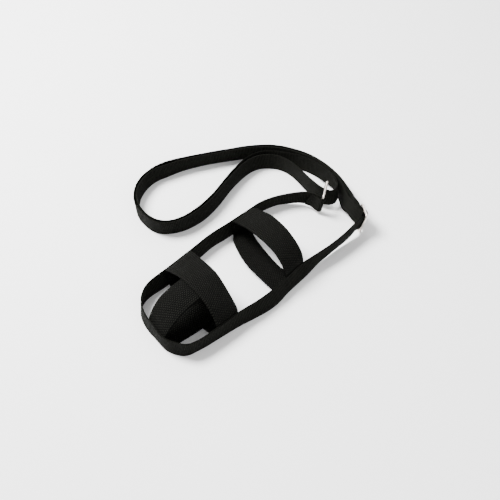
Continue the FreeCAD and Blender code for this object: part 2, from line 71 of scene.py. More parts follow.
# ------------------------------------------------------------------ tables, in millimetres
# each webbing row: lower edge x, y, z, then upper edge x, y, z
SHOULDER = [
    (152.0, -35.9, -0.1, 154.9, -36.5, 19.7),
    (154.4, -25.0, -0.1, 156.6, -25.2, 19.8),
    (155.8, -14.0, -0.1, 157.3, -14.0, 19.9),
    (156.0, -3.2, -0.0, 157.1, -3.1, 19.9),
    (154.8, 7.1, -0.0, 155.6, 7.3, 20.0),
    (152.4, 17.1, -0.0, 152.8, 17.2, 20.0),
    (149.2, 26.7, -0.0, 149.3, 26.8, 20.0),
    (145.4, 36.1, -0.0, 145.3, 36.0, 20.0),
    (140.7, 44.9, -0.0, 140.1, 44.5, 20.0),
    (134.8, 52.8, 0.0, 133.9, 52.1, 20.0),
    (127.8, 60.0, 0.1, 126.7, 58.8, 20.0),
    (120.3, 66.6, 0.1, 119.0, 64.9, 20.0),
    (112.2, 72.7, 0.2, 110.8, 70.5, 20.0),
    (103.8, 78.4, 0.2, 102.3, 75.6, 20.0),
    (95.4, 83.8, 0.3, 93.7, 80.6, 20.0),
    (87.2, 89.3, 0.3, 85.3, 85.8, 19.9),
    (78.9, 94.4, 0.1, 76.8, 90.9, 19.7),
    (70.2, 99.3, 0.0, 68.2, 95.7, 19.6),
    (61.4, 103.9, -0.0, 59.6, 100.5, 19.6),
    (52.5, 108.1, -0.0, 50.9, 105.1, 19.7),
    (43.0, 111.5, -0.0, 42.0, 109.3, 19.9),
    (33.6, 114.7, -0.0, 33.0, 113.4, 19.9),
    (23.9, 117.3, 0.0, 23.8, 117.0, 20.0),
    (14.0, 118.8, -0.0, 14.1, 119.5, 20.0),
    (3.8, 119.0, -0.0, 3.8, 120.3, 20.0),
    (-6.9, 117.6, -0.0, -7.2, 119.2, 19.9),
    (-17.7, 114.4, -0.0, -18.4, 116.2, 19.9),
    (-28.3, 108.9, -0.0, -29.4, 110.5, 19.9),
    (-38.4, 100.9, -0.0, -39.5, 102.1, 19.9),
    (-46.4, 90.9, 0.0, -47.7, 91.7, 19.9),
    (-51.4, 79.6, 0.0, -52.6, 80.0, 20.0),
    (-53.7, 68.1, -0.0, -54.9, 68.2, 20.0),
    (-54.0, 57.1, 0.0, -55.4, 57.0, 19.9),
    (-51.8, 47.8, -0.0, -53.6, 47.1, 19.9),
    (-47.2, 41.0, -0.0, -48.8, 39.5, 19.9),
    (-40.9, 35.8, 0.0, -41.8, 34.2, 19.9),
    (-33.3, 31.3, -0.0, -33.5, 30.4, 20.0),
    (-24.4, 28.2, -0.0, -24.4, 28.3, 20.0),
    (-14.4, 26.6, 0.0, -14.4, 27.6, 20.0),
    (-3.9, 26.0, -0.0, -4.0, 27.8, 19.9),
    (7.0, 26.7, 0.0, 6.7, 29.0, 19.9),
    (18.4, 28.8, 0.0, 17.8, 31.1, 19.9),
    (29.8, 31.9, 0.0, 29.2, 34.1, 19.9),
    (41.4, 35.7, -0.0, 40.8, 37.7, 19.9),
    (53.0, 39.5, 0.0, 52.5, 41.2, 19.9),
    (64.7, 42.7, -0.0, 64.3, 44.3, 19.9),
    (76.7, 45.2, -0.0, 76.3, 47.1, 19.9),
    (88.5, 46.7, 0.0, 88.2, 49.1, 19.9),
    (99.3, 46.5, 0.0, 99.6, 49.3, 19.8),
    (108.5, 44.0, 0.0, 109.7, 46.8, 19.8),
    (115.8, 39.2, -0.0, 117.9, 41.5, 19.8),
    (121.8, 32.7, -0.0, 124.2, 34.2, 19.8),
    (126.2, 24.6, -0.0, 128.1, 25.1, 19.9),
    (128.1, 14.5, 0.0, 129.5, 14.6, 20.0),
    (127.5, 3.5, 0.1, 129.2, 3.4, 20.0),
    (124.6, -8.2, 0.8, 127.0, -8.7, 20.7),
    (120.2, -20.7, 2.5, 123.4, -21.4, 22.3),
    (115.4, -33.7, 5.0, 119.5, -34.4, 24.6),
    (112.4, -45.7, 6.2, 117.4, -46.1, 25.6),
    (112.3, -57.4, 6.5, 117.5, -56.3, 25.8),
    (120.8, -65.7, 6.0, 122.0, -62.9, 25.8),
    (131.8, -63.1, 5.9, 130.9, -61.7, 25.8),
    (140.4, -53.9, 5.7, 138.9, -53.1, 25.6),
    (144.5, -41.0, 4.3, 144.7, -41.1, 24.4),
    (146.4, -28.2, 2.4, 148.4, -28.4, 22.3),
    (148.2, -15.9, 0.6, 150.6, -15.9, 20.4),
    (147.7, -5.3, 0.1, 150.3, -4.9, 19.9),
    (145.7, 4.5, 0.0, 148.1, 5.2, 19.8),
    (142.7, 13.9, 0.0, 144.9, 14.8, 19.9),
    (138.5, 22.5, 0.0, 140.5, 23.6, 19.9),
    (133.2, 30.7, 0.0, 135.4, 32.0, 19.8),
    (127.6, 38.4, 0.0, 129.9, 40.1, 19.8),
    (121.3, 44.6, -0.0, 123.1, 47.0, 19.8),
    (113.3, 49.0, 0.0, 114.3, 51.7, 19.8),
    (103.8, 51.4, 0.0, 104.1, 54.1, 19.8),
    (93.0, 51.4, 0.0, 92.6, 53.8, 19.9),
    (81.0, 49.6, -0.0, 80.6, 51.5, 19.9),
    (69.0, 47.3, -0.0, 68.6, 49.0, 19.9),
    (57.2, 43.9, 0.0, 56.7, 45.6, 19.9),
    (45.5, 39.9, -0.0, 44.9, 42.0, 19.9),
    (33.9, 36.2, -0.0, 33.2, 38.5, 19.9),
    (22.4, 33.1, 0.0, 21.8, 35.4, 19.9),
    (11.0, 30.9, 0.0, 10.6, 33.2, 19.9),
    (-0.1, 29.9, -0.0, -0.3, 31.8, 19.9),
    (-10.8, 30.1, 0.0, -10.8, 31.2, 20.0),
    (-21.0, 31.2, 0.0, -21.0, 31.4, 20.0),
    (-30.3, 33.8, 0.0, -30.5, 33.0, 20.0),
    (-38.1, 37.9, -0.0, -39.0, 36.3, 19.9),
    (-44.2, 43.3, 0.0, -45.9, 41.8, 19.9),
    (-48.6, 50.3, -0.0, -50.5, 49.6, 19.9),
    (-50.9, 59.5, -0.0, -52.6, 59.4, 19.9),
    (-50.6, 70.4, 0.0, -52.1, 70.6, 19.9),
    (-47.5, 81.8, -0.0, -49.0, 82.4, 19.9),
    (-41.5, 92.8, 0.0, -42.9, 93.8, 19.9),
    (-32.8, 102.2, 0.0, -34.0, 103.6, 19.9),
    (-22.5, 108.9, -0.0, -23.4, 110.7, 19.9),
    (-11.7, 113.3, -0.0, -12.2, 115.0, 19.9),
    (-1.1, 115.5, -0.0, -1.2, 117.0, 19.9),
    (8.8, 115.2, 0.0, 9.1, 116.2, 20.0),
    (18.3, 113.0, 0.0, 18.4, 113.1, 20.0),
    (28.1, 111.1, 0.0, 27.8, 110.0, 20.0),
    (38.0, 108.9, 0.0, 37.2, 106.8, 19.9),
    (47.6, 105.5, -0.0, 46.2, 102.8, 19.8),
    (56.7, 101.6, -0.0, 55.0, 98.4, 19.7),
    (65.7, 97.4, 0.0, 63.8, 93.9, 19.6),
    (74.5, 92.7, -0.0, 72.4, 89.1, 19.6),
    (82.9, 87.7, -0.0, 80.9, 84.1, 19.6),
    (91.3, 82.6, -0.0, 89.6, 79.3, 19.6),
    (99.9, 77.5, -0.0, 98.3, 74.5, 19.7),
    (108.3, 71.9, -0.0, 106.9, 69.6, 19.8),
    (116.4, 65.9, 0.0, 115.1, 64.0, 19.9),
    (123.9, 59.1, -0.0, 122.7, 57.8, 19.9),
    (130.5, 51.7, 0.0, 129.6, 50.9, 20.0),
    (136.3, 43.6, -0.0, 135.8, 43.2, 20.0),
    (141.3, 35.0, -0.0, 141.1, 34.9, 20.0),
    (145.3, 25.9, -0.0, 145.4, 25.9, 20.0),
    (148.6, 16.3, -0.0, 149.0, 16.4, 20.0),
    (151.5, 6.6, -0.0, 152.2, 6.8, 20.0),
    (153.4, -3.3, 0.0, 154.4, -3.2, 20.0),
    (153.2, -14.0, -0.0, 154.7, -14.1, 19.9),
    (151.8, -25.0, -0.0, 154.0, -25.2, 19.9),
    (149.6, -35.8, 0.0, 152.5, -36.4, 19.8),
]
UPPER_FEED = [
    (152.0, -35.9, -0.1, 154.9, -36.5, 19.7),
    (148.4, -46.6, 0.1, 152.2, -47.8, 19.7),
    (143.1, -57.5, 0.7, 147.8, -59.5, 20.0),
    (136.8, -68.7, 1.6, 142.2, -71.2, 20.6),
    (130.8, -80.1, 2.4, 136.7, -82.7, 21.3),
]
END_FEED = [
    (149.6, -35.8, 0.0, 152.5, -36.4, 19.8),
    (145.8, -46.4, 0.0, 149.4, -47.8, 19.6),
    (140.0, -56.8, 0.2, 144.3, -59.1, 19.6),
    (132.5, -67.5, 0.9, 137.5, -70.5, 20.1),
    (127.3, -74.8, 1.5, 132.8, -78.1, 20.5),
]
LOWER_FEED = [
    (98.5, -114.0, 3.0, 96.0, -115.2, 22.9),
    (88.3, -114.1, 2.4, 86.5, -117.2, 22.4),
    (79.0, -113.2, 1.7, 77.4, -117.4, 21.7),
    (69.7, -113.1, 1.2, 68.4, -117.2, 21.2),
    (60.3, -113.5, 0.8, 59.3, -116.9, 20.8),
    (54.2, -113.6, 0.6, 53.4, -116.5, 20.6),
]
CRADLE = [
    (54.2, -113.6, 0.6, 53.4, -116.5, 20.6),
    (45.4, -113.6, 0.4, 44.6, -115.6, 20.4),
    (36.4, -114.4, 0.2, 35.9, -114.7, 20.2),
    (27.6, -115.9, 0.1, 27.3, -113.8, 19.9),
    (19.0, -117.1, 0.0, 18.9, -112.7, 19.3),
    (10.8, -117.8, 0.0, 10.3, -112.4, 19.1),
    (1.9, -118.5, 0.0, 1.1, -113.4, 19.3),
    (-7.5, -119.3, -0.0, -8.0, -114.5, 19.4),
    (-16.3, -120.3, -0.0, -16.9, -115.4, 19.4),
    (-25.1, -122.0, -0.0, -25.6, -116.3, 19.2),
    (-34.0, -123.0, 0.0, -34.0, -116.4, 18.9),
    (-42.5, -122.9, 0.0, -42.4, -116.3, 18.9),
    (-51.2, -122.0, -0.0, -50.9, -116.2, 19.1),
    (-59.7, -120.5, 0.0, -59.1, -115.7, 19.4),
    (-67.7, -118.9, 0.0, -67.2, -114.8, 19.6),
    (-75.5, -117.2, -0.0, -75.2, -114.0, 19.7),
    (-83.3, -115.7, -0.0, -83.2, -113.7, 19.9),
    (-91.3, -114.6, -0.0, -91.3, -113.9, 20.0),
    (-99.3, -113.6, 0.0, -99.3, -113.9, 20.0),
    (-107.1, -112.7, -0.0, -107.2, -113.6, 20.0),
    (-114.8, -111.9, 0.0, -114.9, -113.2, 20.0),
    (-122.4, -111.1, 0.0, -122.5, -112.8, 19.9),
    (-129.8, -109.9, -0.0, -130.0, -112.1, 19.9),
    (-136.7, -108.5, -0.0, -137.3, -110.8, 19.9),
    (-143.1, -107.0, -0.0, -144.0, -108.5, 19.9),
    (-148.4, -103.8, -0.0, -149.0, -104.2, 20.0),
    (-152.3, -98.0, 0.0, -152.3, -98.0, 20.0),
    (-155.2, -91.3, 0.0, -155.4, -91.4, 20.0),
    (-156.2, -84.1, -0.0, -157.3, -84.2, 20.0),
    (-155.4, -76.3, -0.0, -156.9, -76.1, 19.9),
    (-154.3, -67.0, 0.0, -154.9, -67.6, 20.0),
    (-153.2, -57.5, -0.0, -152.8, -59.0, 20.0),
    (-151.5, -48.7, 0.0, -150.8, -50.3, 20.0),
    (-148.5, -40.1, -0.0, -147.7, -41.7, 20.0),
    (-143.9, -32.0, 0.0, -143.1, -33.5, 20.0),
    (-137.5, -25.3, -0.0, -136.8, -26.4, 20.0),
    (-129.4, -21.2, 0.0, -129.2, -21.0, 19.9),
    (-120.6, -19.8, 0.0, -121.0, -17.4, 19.7),
    (-112.4, -19.9, -0.0, -112.6, -15.8, 19.5),
    (-104.2, -20.3, -0.0, -104.3, -15.4, 19.4),
    (-95.8, -20.2, 0.0, -96.0, -15.1, 19.4),
    (-87.3, -19.6, 0.0, -87.6, -14.7, 19.4),
    (-78.8, -18.7, -0.0, -79.1, -14.2, 19.5),
    (-70.3, -17.8, -0.0, -70.6, -13.7, 19.6),
    (-61.7, -16.9, 0.0, -61.9, -13.2, 19.7),
    (-53.0, -15.9, 0.0, -53.2, -12.7, 19.7),
    (-44.2, -14.9, 0.0, -44.4, -12.2, 19.8),
    (-35.4, -13.7, 0.0, -35.5, -11.6, 19.9),
    (-26.4, -12.7, -0.0, -26.5, -11.0, 19.9),
    (-17.7, -12.8, -0.0, -17.6, -10.9, 19.9),
    (-8.9, -13.7, 0.0, -8.7, -11.4, 19.9),
    (0.1, -14.2, -0.0, 0.2, -11.8, 19.9),
    (9.2, -14.0, -0.0, 9.2, -12.1, 19.9),
    (18.2, -13.4, 0.0, 18.3, -12.5, 20.0),
    (27.5, -12.7, -0.0, 27.4, -12.9, 20.0),
    (36.8, -11.8, -0.0, 36.8, -13.1, 20.0),
    (46.4, -10.8, -0.0, 46.3, -13.1, 19.9),
    (56.1, -10.7, 0.0, 55.5, -13.9, 19.7),
    (65.3, -12.3, 0.0, 64.2, -16.0, 19.6),
    (74.2, -14.8, -0.0, 72.4, -18.9, 19.5),
    (79.9, -17.0, -0.0, 77.6, -21.3, 19.4),
]
FOLD = [
    (87.1, -22.1, 0.1, 85.8, -26.2, 19.7),
    (94.5, -29.2, 1.5, 94.2, -33.3, 21.1),
    (99.3, -36.0, 2.8, 100.0, -40.0, 22.4),
    (102.3, -46.3, 4.3, 104.0, -50.2, 23.9),
    (103.1, -52.3, 4.3, 104.9, -56.1, 23.9),
    (104.5, -55.5, 4.3, 106.2, -59.3, 23.9),
    (105.6, -58.9, 4.3, 107.3, -62.8, 23.9),
    (105.6, -59.9, 4.3, 107.3, -63.8, 23.9),
    (105.2, -60.8, 4.3, 106.9, -64.7, 23.9),
    (104.5, -61.5, 4.3, 106.2, -65.4, 23.9),
    (103.6, -61.9, 4.3, 105.3, -65.7, 23.9),
    (102.6, -61.9, 4.3, 104.3, -65.7, 23.9),
    (101.7, -61.5, 4.3, 103.4, -65.3, 23.9),
    (101.0, -60.8, 4.3, 102.8, -64.6, 23.9),
    (100.7, -59.9, 4.3, 102.4, -63.7, 23.9),
    (100.7, -56.2, 4.5, 102.3, -60.2, 23.9),
    (101.1, -51.6, 4.7, 102.7, -56.5, 23.7),
    (100.5, -46.7, 4.8, 102.0, -53.2, 23.4),
    (99.0, -41.4, 4.9, 100.6, -49.5, 23.1),
]
UPPER_BAND = [
    (6.1, -15.4, 3.0, 11.2, -15.2, 3.0, 16.2, -15.0, 3.0, 21.3, -14.7, 3.0, 26.5, -14.4, 3.0, 31.6, -14.1, 3.0, 36.9, -13.6, 3.0),
    (6.2, -15.0, 6.5, 11.2, -14.9, 6.5, 16.2, -14.8, 6.5, 21.3, -14.6, 6.5, 26.5, -14.4, 6.5, 31.6, -14.2, 6.5, 36.9, -13.8, 6.5),
    (6.2, -14.7, 9.9, 11.2, -14.6, 10.0, 16.2, -14.6, 10.0, 21.3, -14.5, 10.0, 26.5, -14.4, 10.0, 31.6, -14.3, 10.0, 36.9, -14.1, 10.0),
    (6.2, -14.2, 13.9, 11.2, -14.3, 13.9, 16.3, -14.4, 14.0, 21.3, -14.4, 14.0, 26.5, -14.4, 14.0, 31.6, -14.4, 14.0, 36.9, -14.3, 14.0),
    (6.2, -13.8, 17.9, 11.2, -14.0, 17.9, 16.3, -14.1, 18.0, 21.4, -14.3, 18.0, 26.5, -14.4, 18.0, 31.6, -14.5, 18.0, 36.9, -14.6, 18.0),
    (6.1, -14.6, 20.5, 11.1, -14.7, 20.5, 16.1, -14.9, 20.4, 21.2, -15.0, 20.4, 26.3, -15.2, 20.3, 31.5, -15.3, 20.3, 36.7, -15.3, 20.2),
    (5.7, -16.8, 22.3, 10.7, -17.0, 22.4, 15.8, -17.1, 22.6, 20.8, -17.2, 22.7, 25.9, -17.4, 22.9, 31.1, -17.5, 23.0, 36.3, -17.5, 23.1),
    (5.0, -20.5, 24.3, 10.1, -20.6, 24.6, 15.1, -20.7, 24.9, 20.2, -20.8, 25.2, 25.3, -20.9, 25.5, 30.5, -21.0, 25.8, 35.7, -21.1, 26.1),
    (4.2, -25.5, 26.5, 9.2, -25.6, 26.9, 14.2, -25.7, 27.4, 19.3, -25.7, 27.8, 24.4, -25.8, 28.2, 29.6, -25.9, 28.6, 34.8, -25.9, 29.0),
    (3.1, -31.7, 29.0, 8.1, -31.7, 29.5, 13.2, -31.7, 30.0, 18.3, -31.7, 30.5, 23.4, -31.8, 31.0, 28.5, -31.8, 31.5, 33.7, -31.9, 32.0),
    (1.9, -38.8, 31.9, 6.9, -38.8, 32.4, 11.9, -38.8, 32.9, 17.0, -38.7, 33.5, 22.1, -38.7, 34.0, 27.3, -38.7, 34.5, 32.4, -38.8, 35.1),
    (0.5, -46.7, 34.5, 5.5, -46.6, 35.2, 10.6, -46.5, 35.9, 15.7, -46.4, 36.6, 20.8, -46.4, 37.3, 25.9, -46.4, 38.0, 31.0, -46.5, 38.7),
    (-1.0, -55.1, 36.5, 4.1, -55.0, 37.4, 9.1, -54.8, 38.3, 14.2, -54.6, 39.1, 19.3, -54.5, 40.0, 24.4, -54.5, 40.9, 29.5, -54.6, 41.7),
    (-2.5, -63.7, 38.0, 2.6, -63.6, 38.8, 7.6, -63.4, 39.6, 12.7, -63.1, 40.4, 17.8, -63.0, 41.2, 22.9, -62.9, 42.1, 27.9, -63.1, 42.9),
    (-4.0, -72.4, 39.2, 1.1, -72.2, 39.9, 6.1, -71.9, 40.7, 11.2, -71.6, 41.4, 16.3, -71.4, 42.1, 21.4, -71.3, 42.8, 26.4, -71.5, 43.6),
    (-5.4, -80.8, 39.5, -0.4, -80.5, 40.1, 4.7, -80.2, 40.8, 9.8, -79.8, 41.5, 14.9, -79.5, 42.2, 19.9, -79.5, 42.9, 24.9, -79.7, 43.6),
    (-6.8, -88.7, 39.4, -1.8, -88.3, 39.9, 3.3, -88.0, 40.4, 8.4, -87.5, 40.8, 13.5, -87.2, 41.3, 18.6, -87.2, 41.8, 23.4, -87.3, 42.2),
    (-8.0, -95.8, 37.8, -3.0, -95.4, 38.1, 2.0, -95.0, 38.5, 7.2, -94.5, 38.8, 12.3, -94.1, 39.2, 17.3, -94.1, 39.6, 22.2, -94.3, 39.9),
    (-9.1, -102.0, 35.1, -4.1, -101.5, 35.5, 1.0, -101.0, 35.9, 6.1, -100.5, 36.2, 11.2, -100.1, 36.6, 16.2, -100.0, 36.9, 21.1, -100.2, 37.3),
    (-9.9, -107.0, 31.3, -4.9, -106.5, 31.7, 0.1, -106.0, 32.2, 5.2, -105.4, 32.7, 10.4, -105.0, 33.1, 15.4, -104.9, 33.6, 20.2, -105.1, 34.1),
    (-10.6, -110.6, 27.4, -5.6, -110.2, 27.8, -0.5, -109.6, 28.2, 4.6, -109.0, 28.6, 9.7, -108.5, 29.1, 14.7, -108.4, 29.5, 19.5, -108.7, 29.9),
    (-11.0, -112.9, 23.4, -6.0, -112.4, 23.7, -0.9, -111.8, 23.9, 4.2, -111.2, 24.2, 9.3, -110.7, 24.4, 14.3, -110.6, 24.7, 19.1, -110.9, 24.9),
    (-11.1, -113.7, 17.5, -6.1, -113.1, 17.4, -1.0, -112.6, 17.4, 4.1, -111.9, 17.3, 9.2, -111.5, 17.2, 14.2, -111.3, 17.2, 19.0, -111.6, 17.4),
    (-13.8, -114.9, 13.6, -8.8, -114.4, 13.6, -3.8, -113.9, 13.6, 1.3, -113.3, 13.5, 6.4, -112.8, 13.4, 11.4, -112.5, 13.4, 16.3, -112.5, 13.4),
    (-16.4, -116.2, 9.7, -11.6, -115.6, 9.7, -6.5, -115.2, 9.7, -1.4, -114.7, 9.7, 3.7, -114.2, 9.6, 8.7, -113.8, 9.6, 13.6, -113.7, 9.6),
    (-18.8, -117.5, 6.3, -13.9, -116.7, 6.3, -8.9, -116.2, 6.3, -3.9, -115.8, 6.3, 1.3, -115.4, 6.3, 6.3, -115.0, 6.2, 11.2, -114.7, 6.2),
    (-21.1, -118.8, 2.9, -16.2, -117.9, 2.9, -11.3, -117.3, 2.9, -6.3, -116.8, 2.9, -1.2, -116.5, 2.9, 4.0, -116.2, 2.9, 8.9, -115.9, 2.9),
    (-22.6, -118.0, 0.9, -17.8, -117.1, 0.9, -12.8, -116.3, 0.9, -7.8, -115.8, 0.9, -2.7, -115.5, 0.9, 2.4, -115.2, 0.9, 7.5, -114.9, 0.9),
    (-22.9, -109.1, 2.3, -17.7, -108.3, 2.1, -12.4, -107.6, 1.8, -7.2, -107.2, 1.6, -1.9, -106.8, 1.4, 3.5, -106.5, 1.1, 8.8, -106.2, 0.9),
    (-23.1, -100.0, 3.3, -18.0, -99.4, 2.9, -12.8, -98.8, 2.5, -7.7, -98.4, 2.1, -2.5, -98.0, 1.7, 2.7, -97.6, 1.3, 7.9, -97.3, 0.9),
    (-22.3, -91.0, 4.2, -17.3, -90.5, 3.7, -12.3, -90.0, 3.1, -7.2, -89.5, 2.6, -2.2, -89.1, 2.0, 2.9, -88.7, 1.4, 7.9, -88.3, 0.9),
    (-21.5, -82.0, 4.9, -16.4, -81.6, 4.2, -11.3, -81.1, 3.5, -6.1, -80.7, 2.9, -1.0, -80.3, 2.2, 4.1, -79.9, 1.6, 9.3, -79.5, 0.9),
    (-20.6, -72.9, 5.3, -15.3, -72.6, 4.6, -10.0, -72.2, 3.9, -4.7, -71.8, 3.1, 0.5, -71.5, 2.4, 5.8, -71.1, 1.6, 11.1, -70.7, 0.9),
    (-19.0, -64.0, 5.5, -13.6, -63.6, 4.7, -8.3, -63.3, 4.0, -2.9, -63.0, 3.2, 2.4, -62.7, 2.4, 7.8, -62.3, 1.7, 13.1, -62.0, 0.9),
    (-16.6, -55.2, 5.4, -11.2, -54.9, 4.7, -5.9, -54.6, 3.9, -0.5, -54.3, 3.2, 4.8, -54.0, 2.4, 10.1, -53.7, 1.7, 15.5, -53.4, 0.9),
    (-13.3, -46.7, 5.1, -8.1, -46.4, 4.4, -2.9, -46.1, 3.7, 2.3, -45.7, 3.0, 7.6, -45.4, 2.3, 12.8, -45.1, 1.6, 18.0, -44.8, 0.9),
    (-9.6, -38.4, 4.6, -4.6, -38.1, 4.0, 0.5, -37.8, 3.3, 5.6, -37.4, 2.7, 10.7, -37.1, 2.1, 15.8, -36.7, 1.5, 20.9, -36.3, 0.9),
    (-5.5, -30.3, 3.8, -0.5, -30.1, 3.3, 4.6, -29.8, 2.8, 9.7, -29.5, 2.4, 14.7, -29.1, 1.9, 19.9, -28.8, 1.4, 25.0, -28.4, 0.9),
    (-0.8, -22.6, 2.6, 4.3, -22.5, 2.4, 9.6, -22.4, 2.1, 14.8, -22.2, 1.8, 20.1, -22.0, 1.5, 25.4, -21.8, 1.2, 30.8, -21.5, 0.9),
    (6.1, -17.2, 0.9, 11.2, -17.0, 0.9, 16.2, -16.7, 0.9, 21.4, -16.4, 0.9, 26.5, -16.0, 0.9, 31.7, -15.6, 0.9, 37.0, -15.1, 0.9),
]
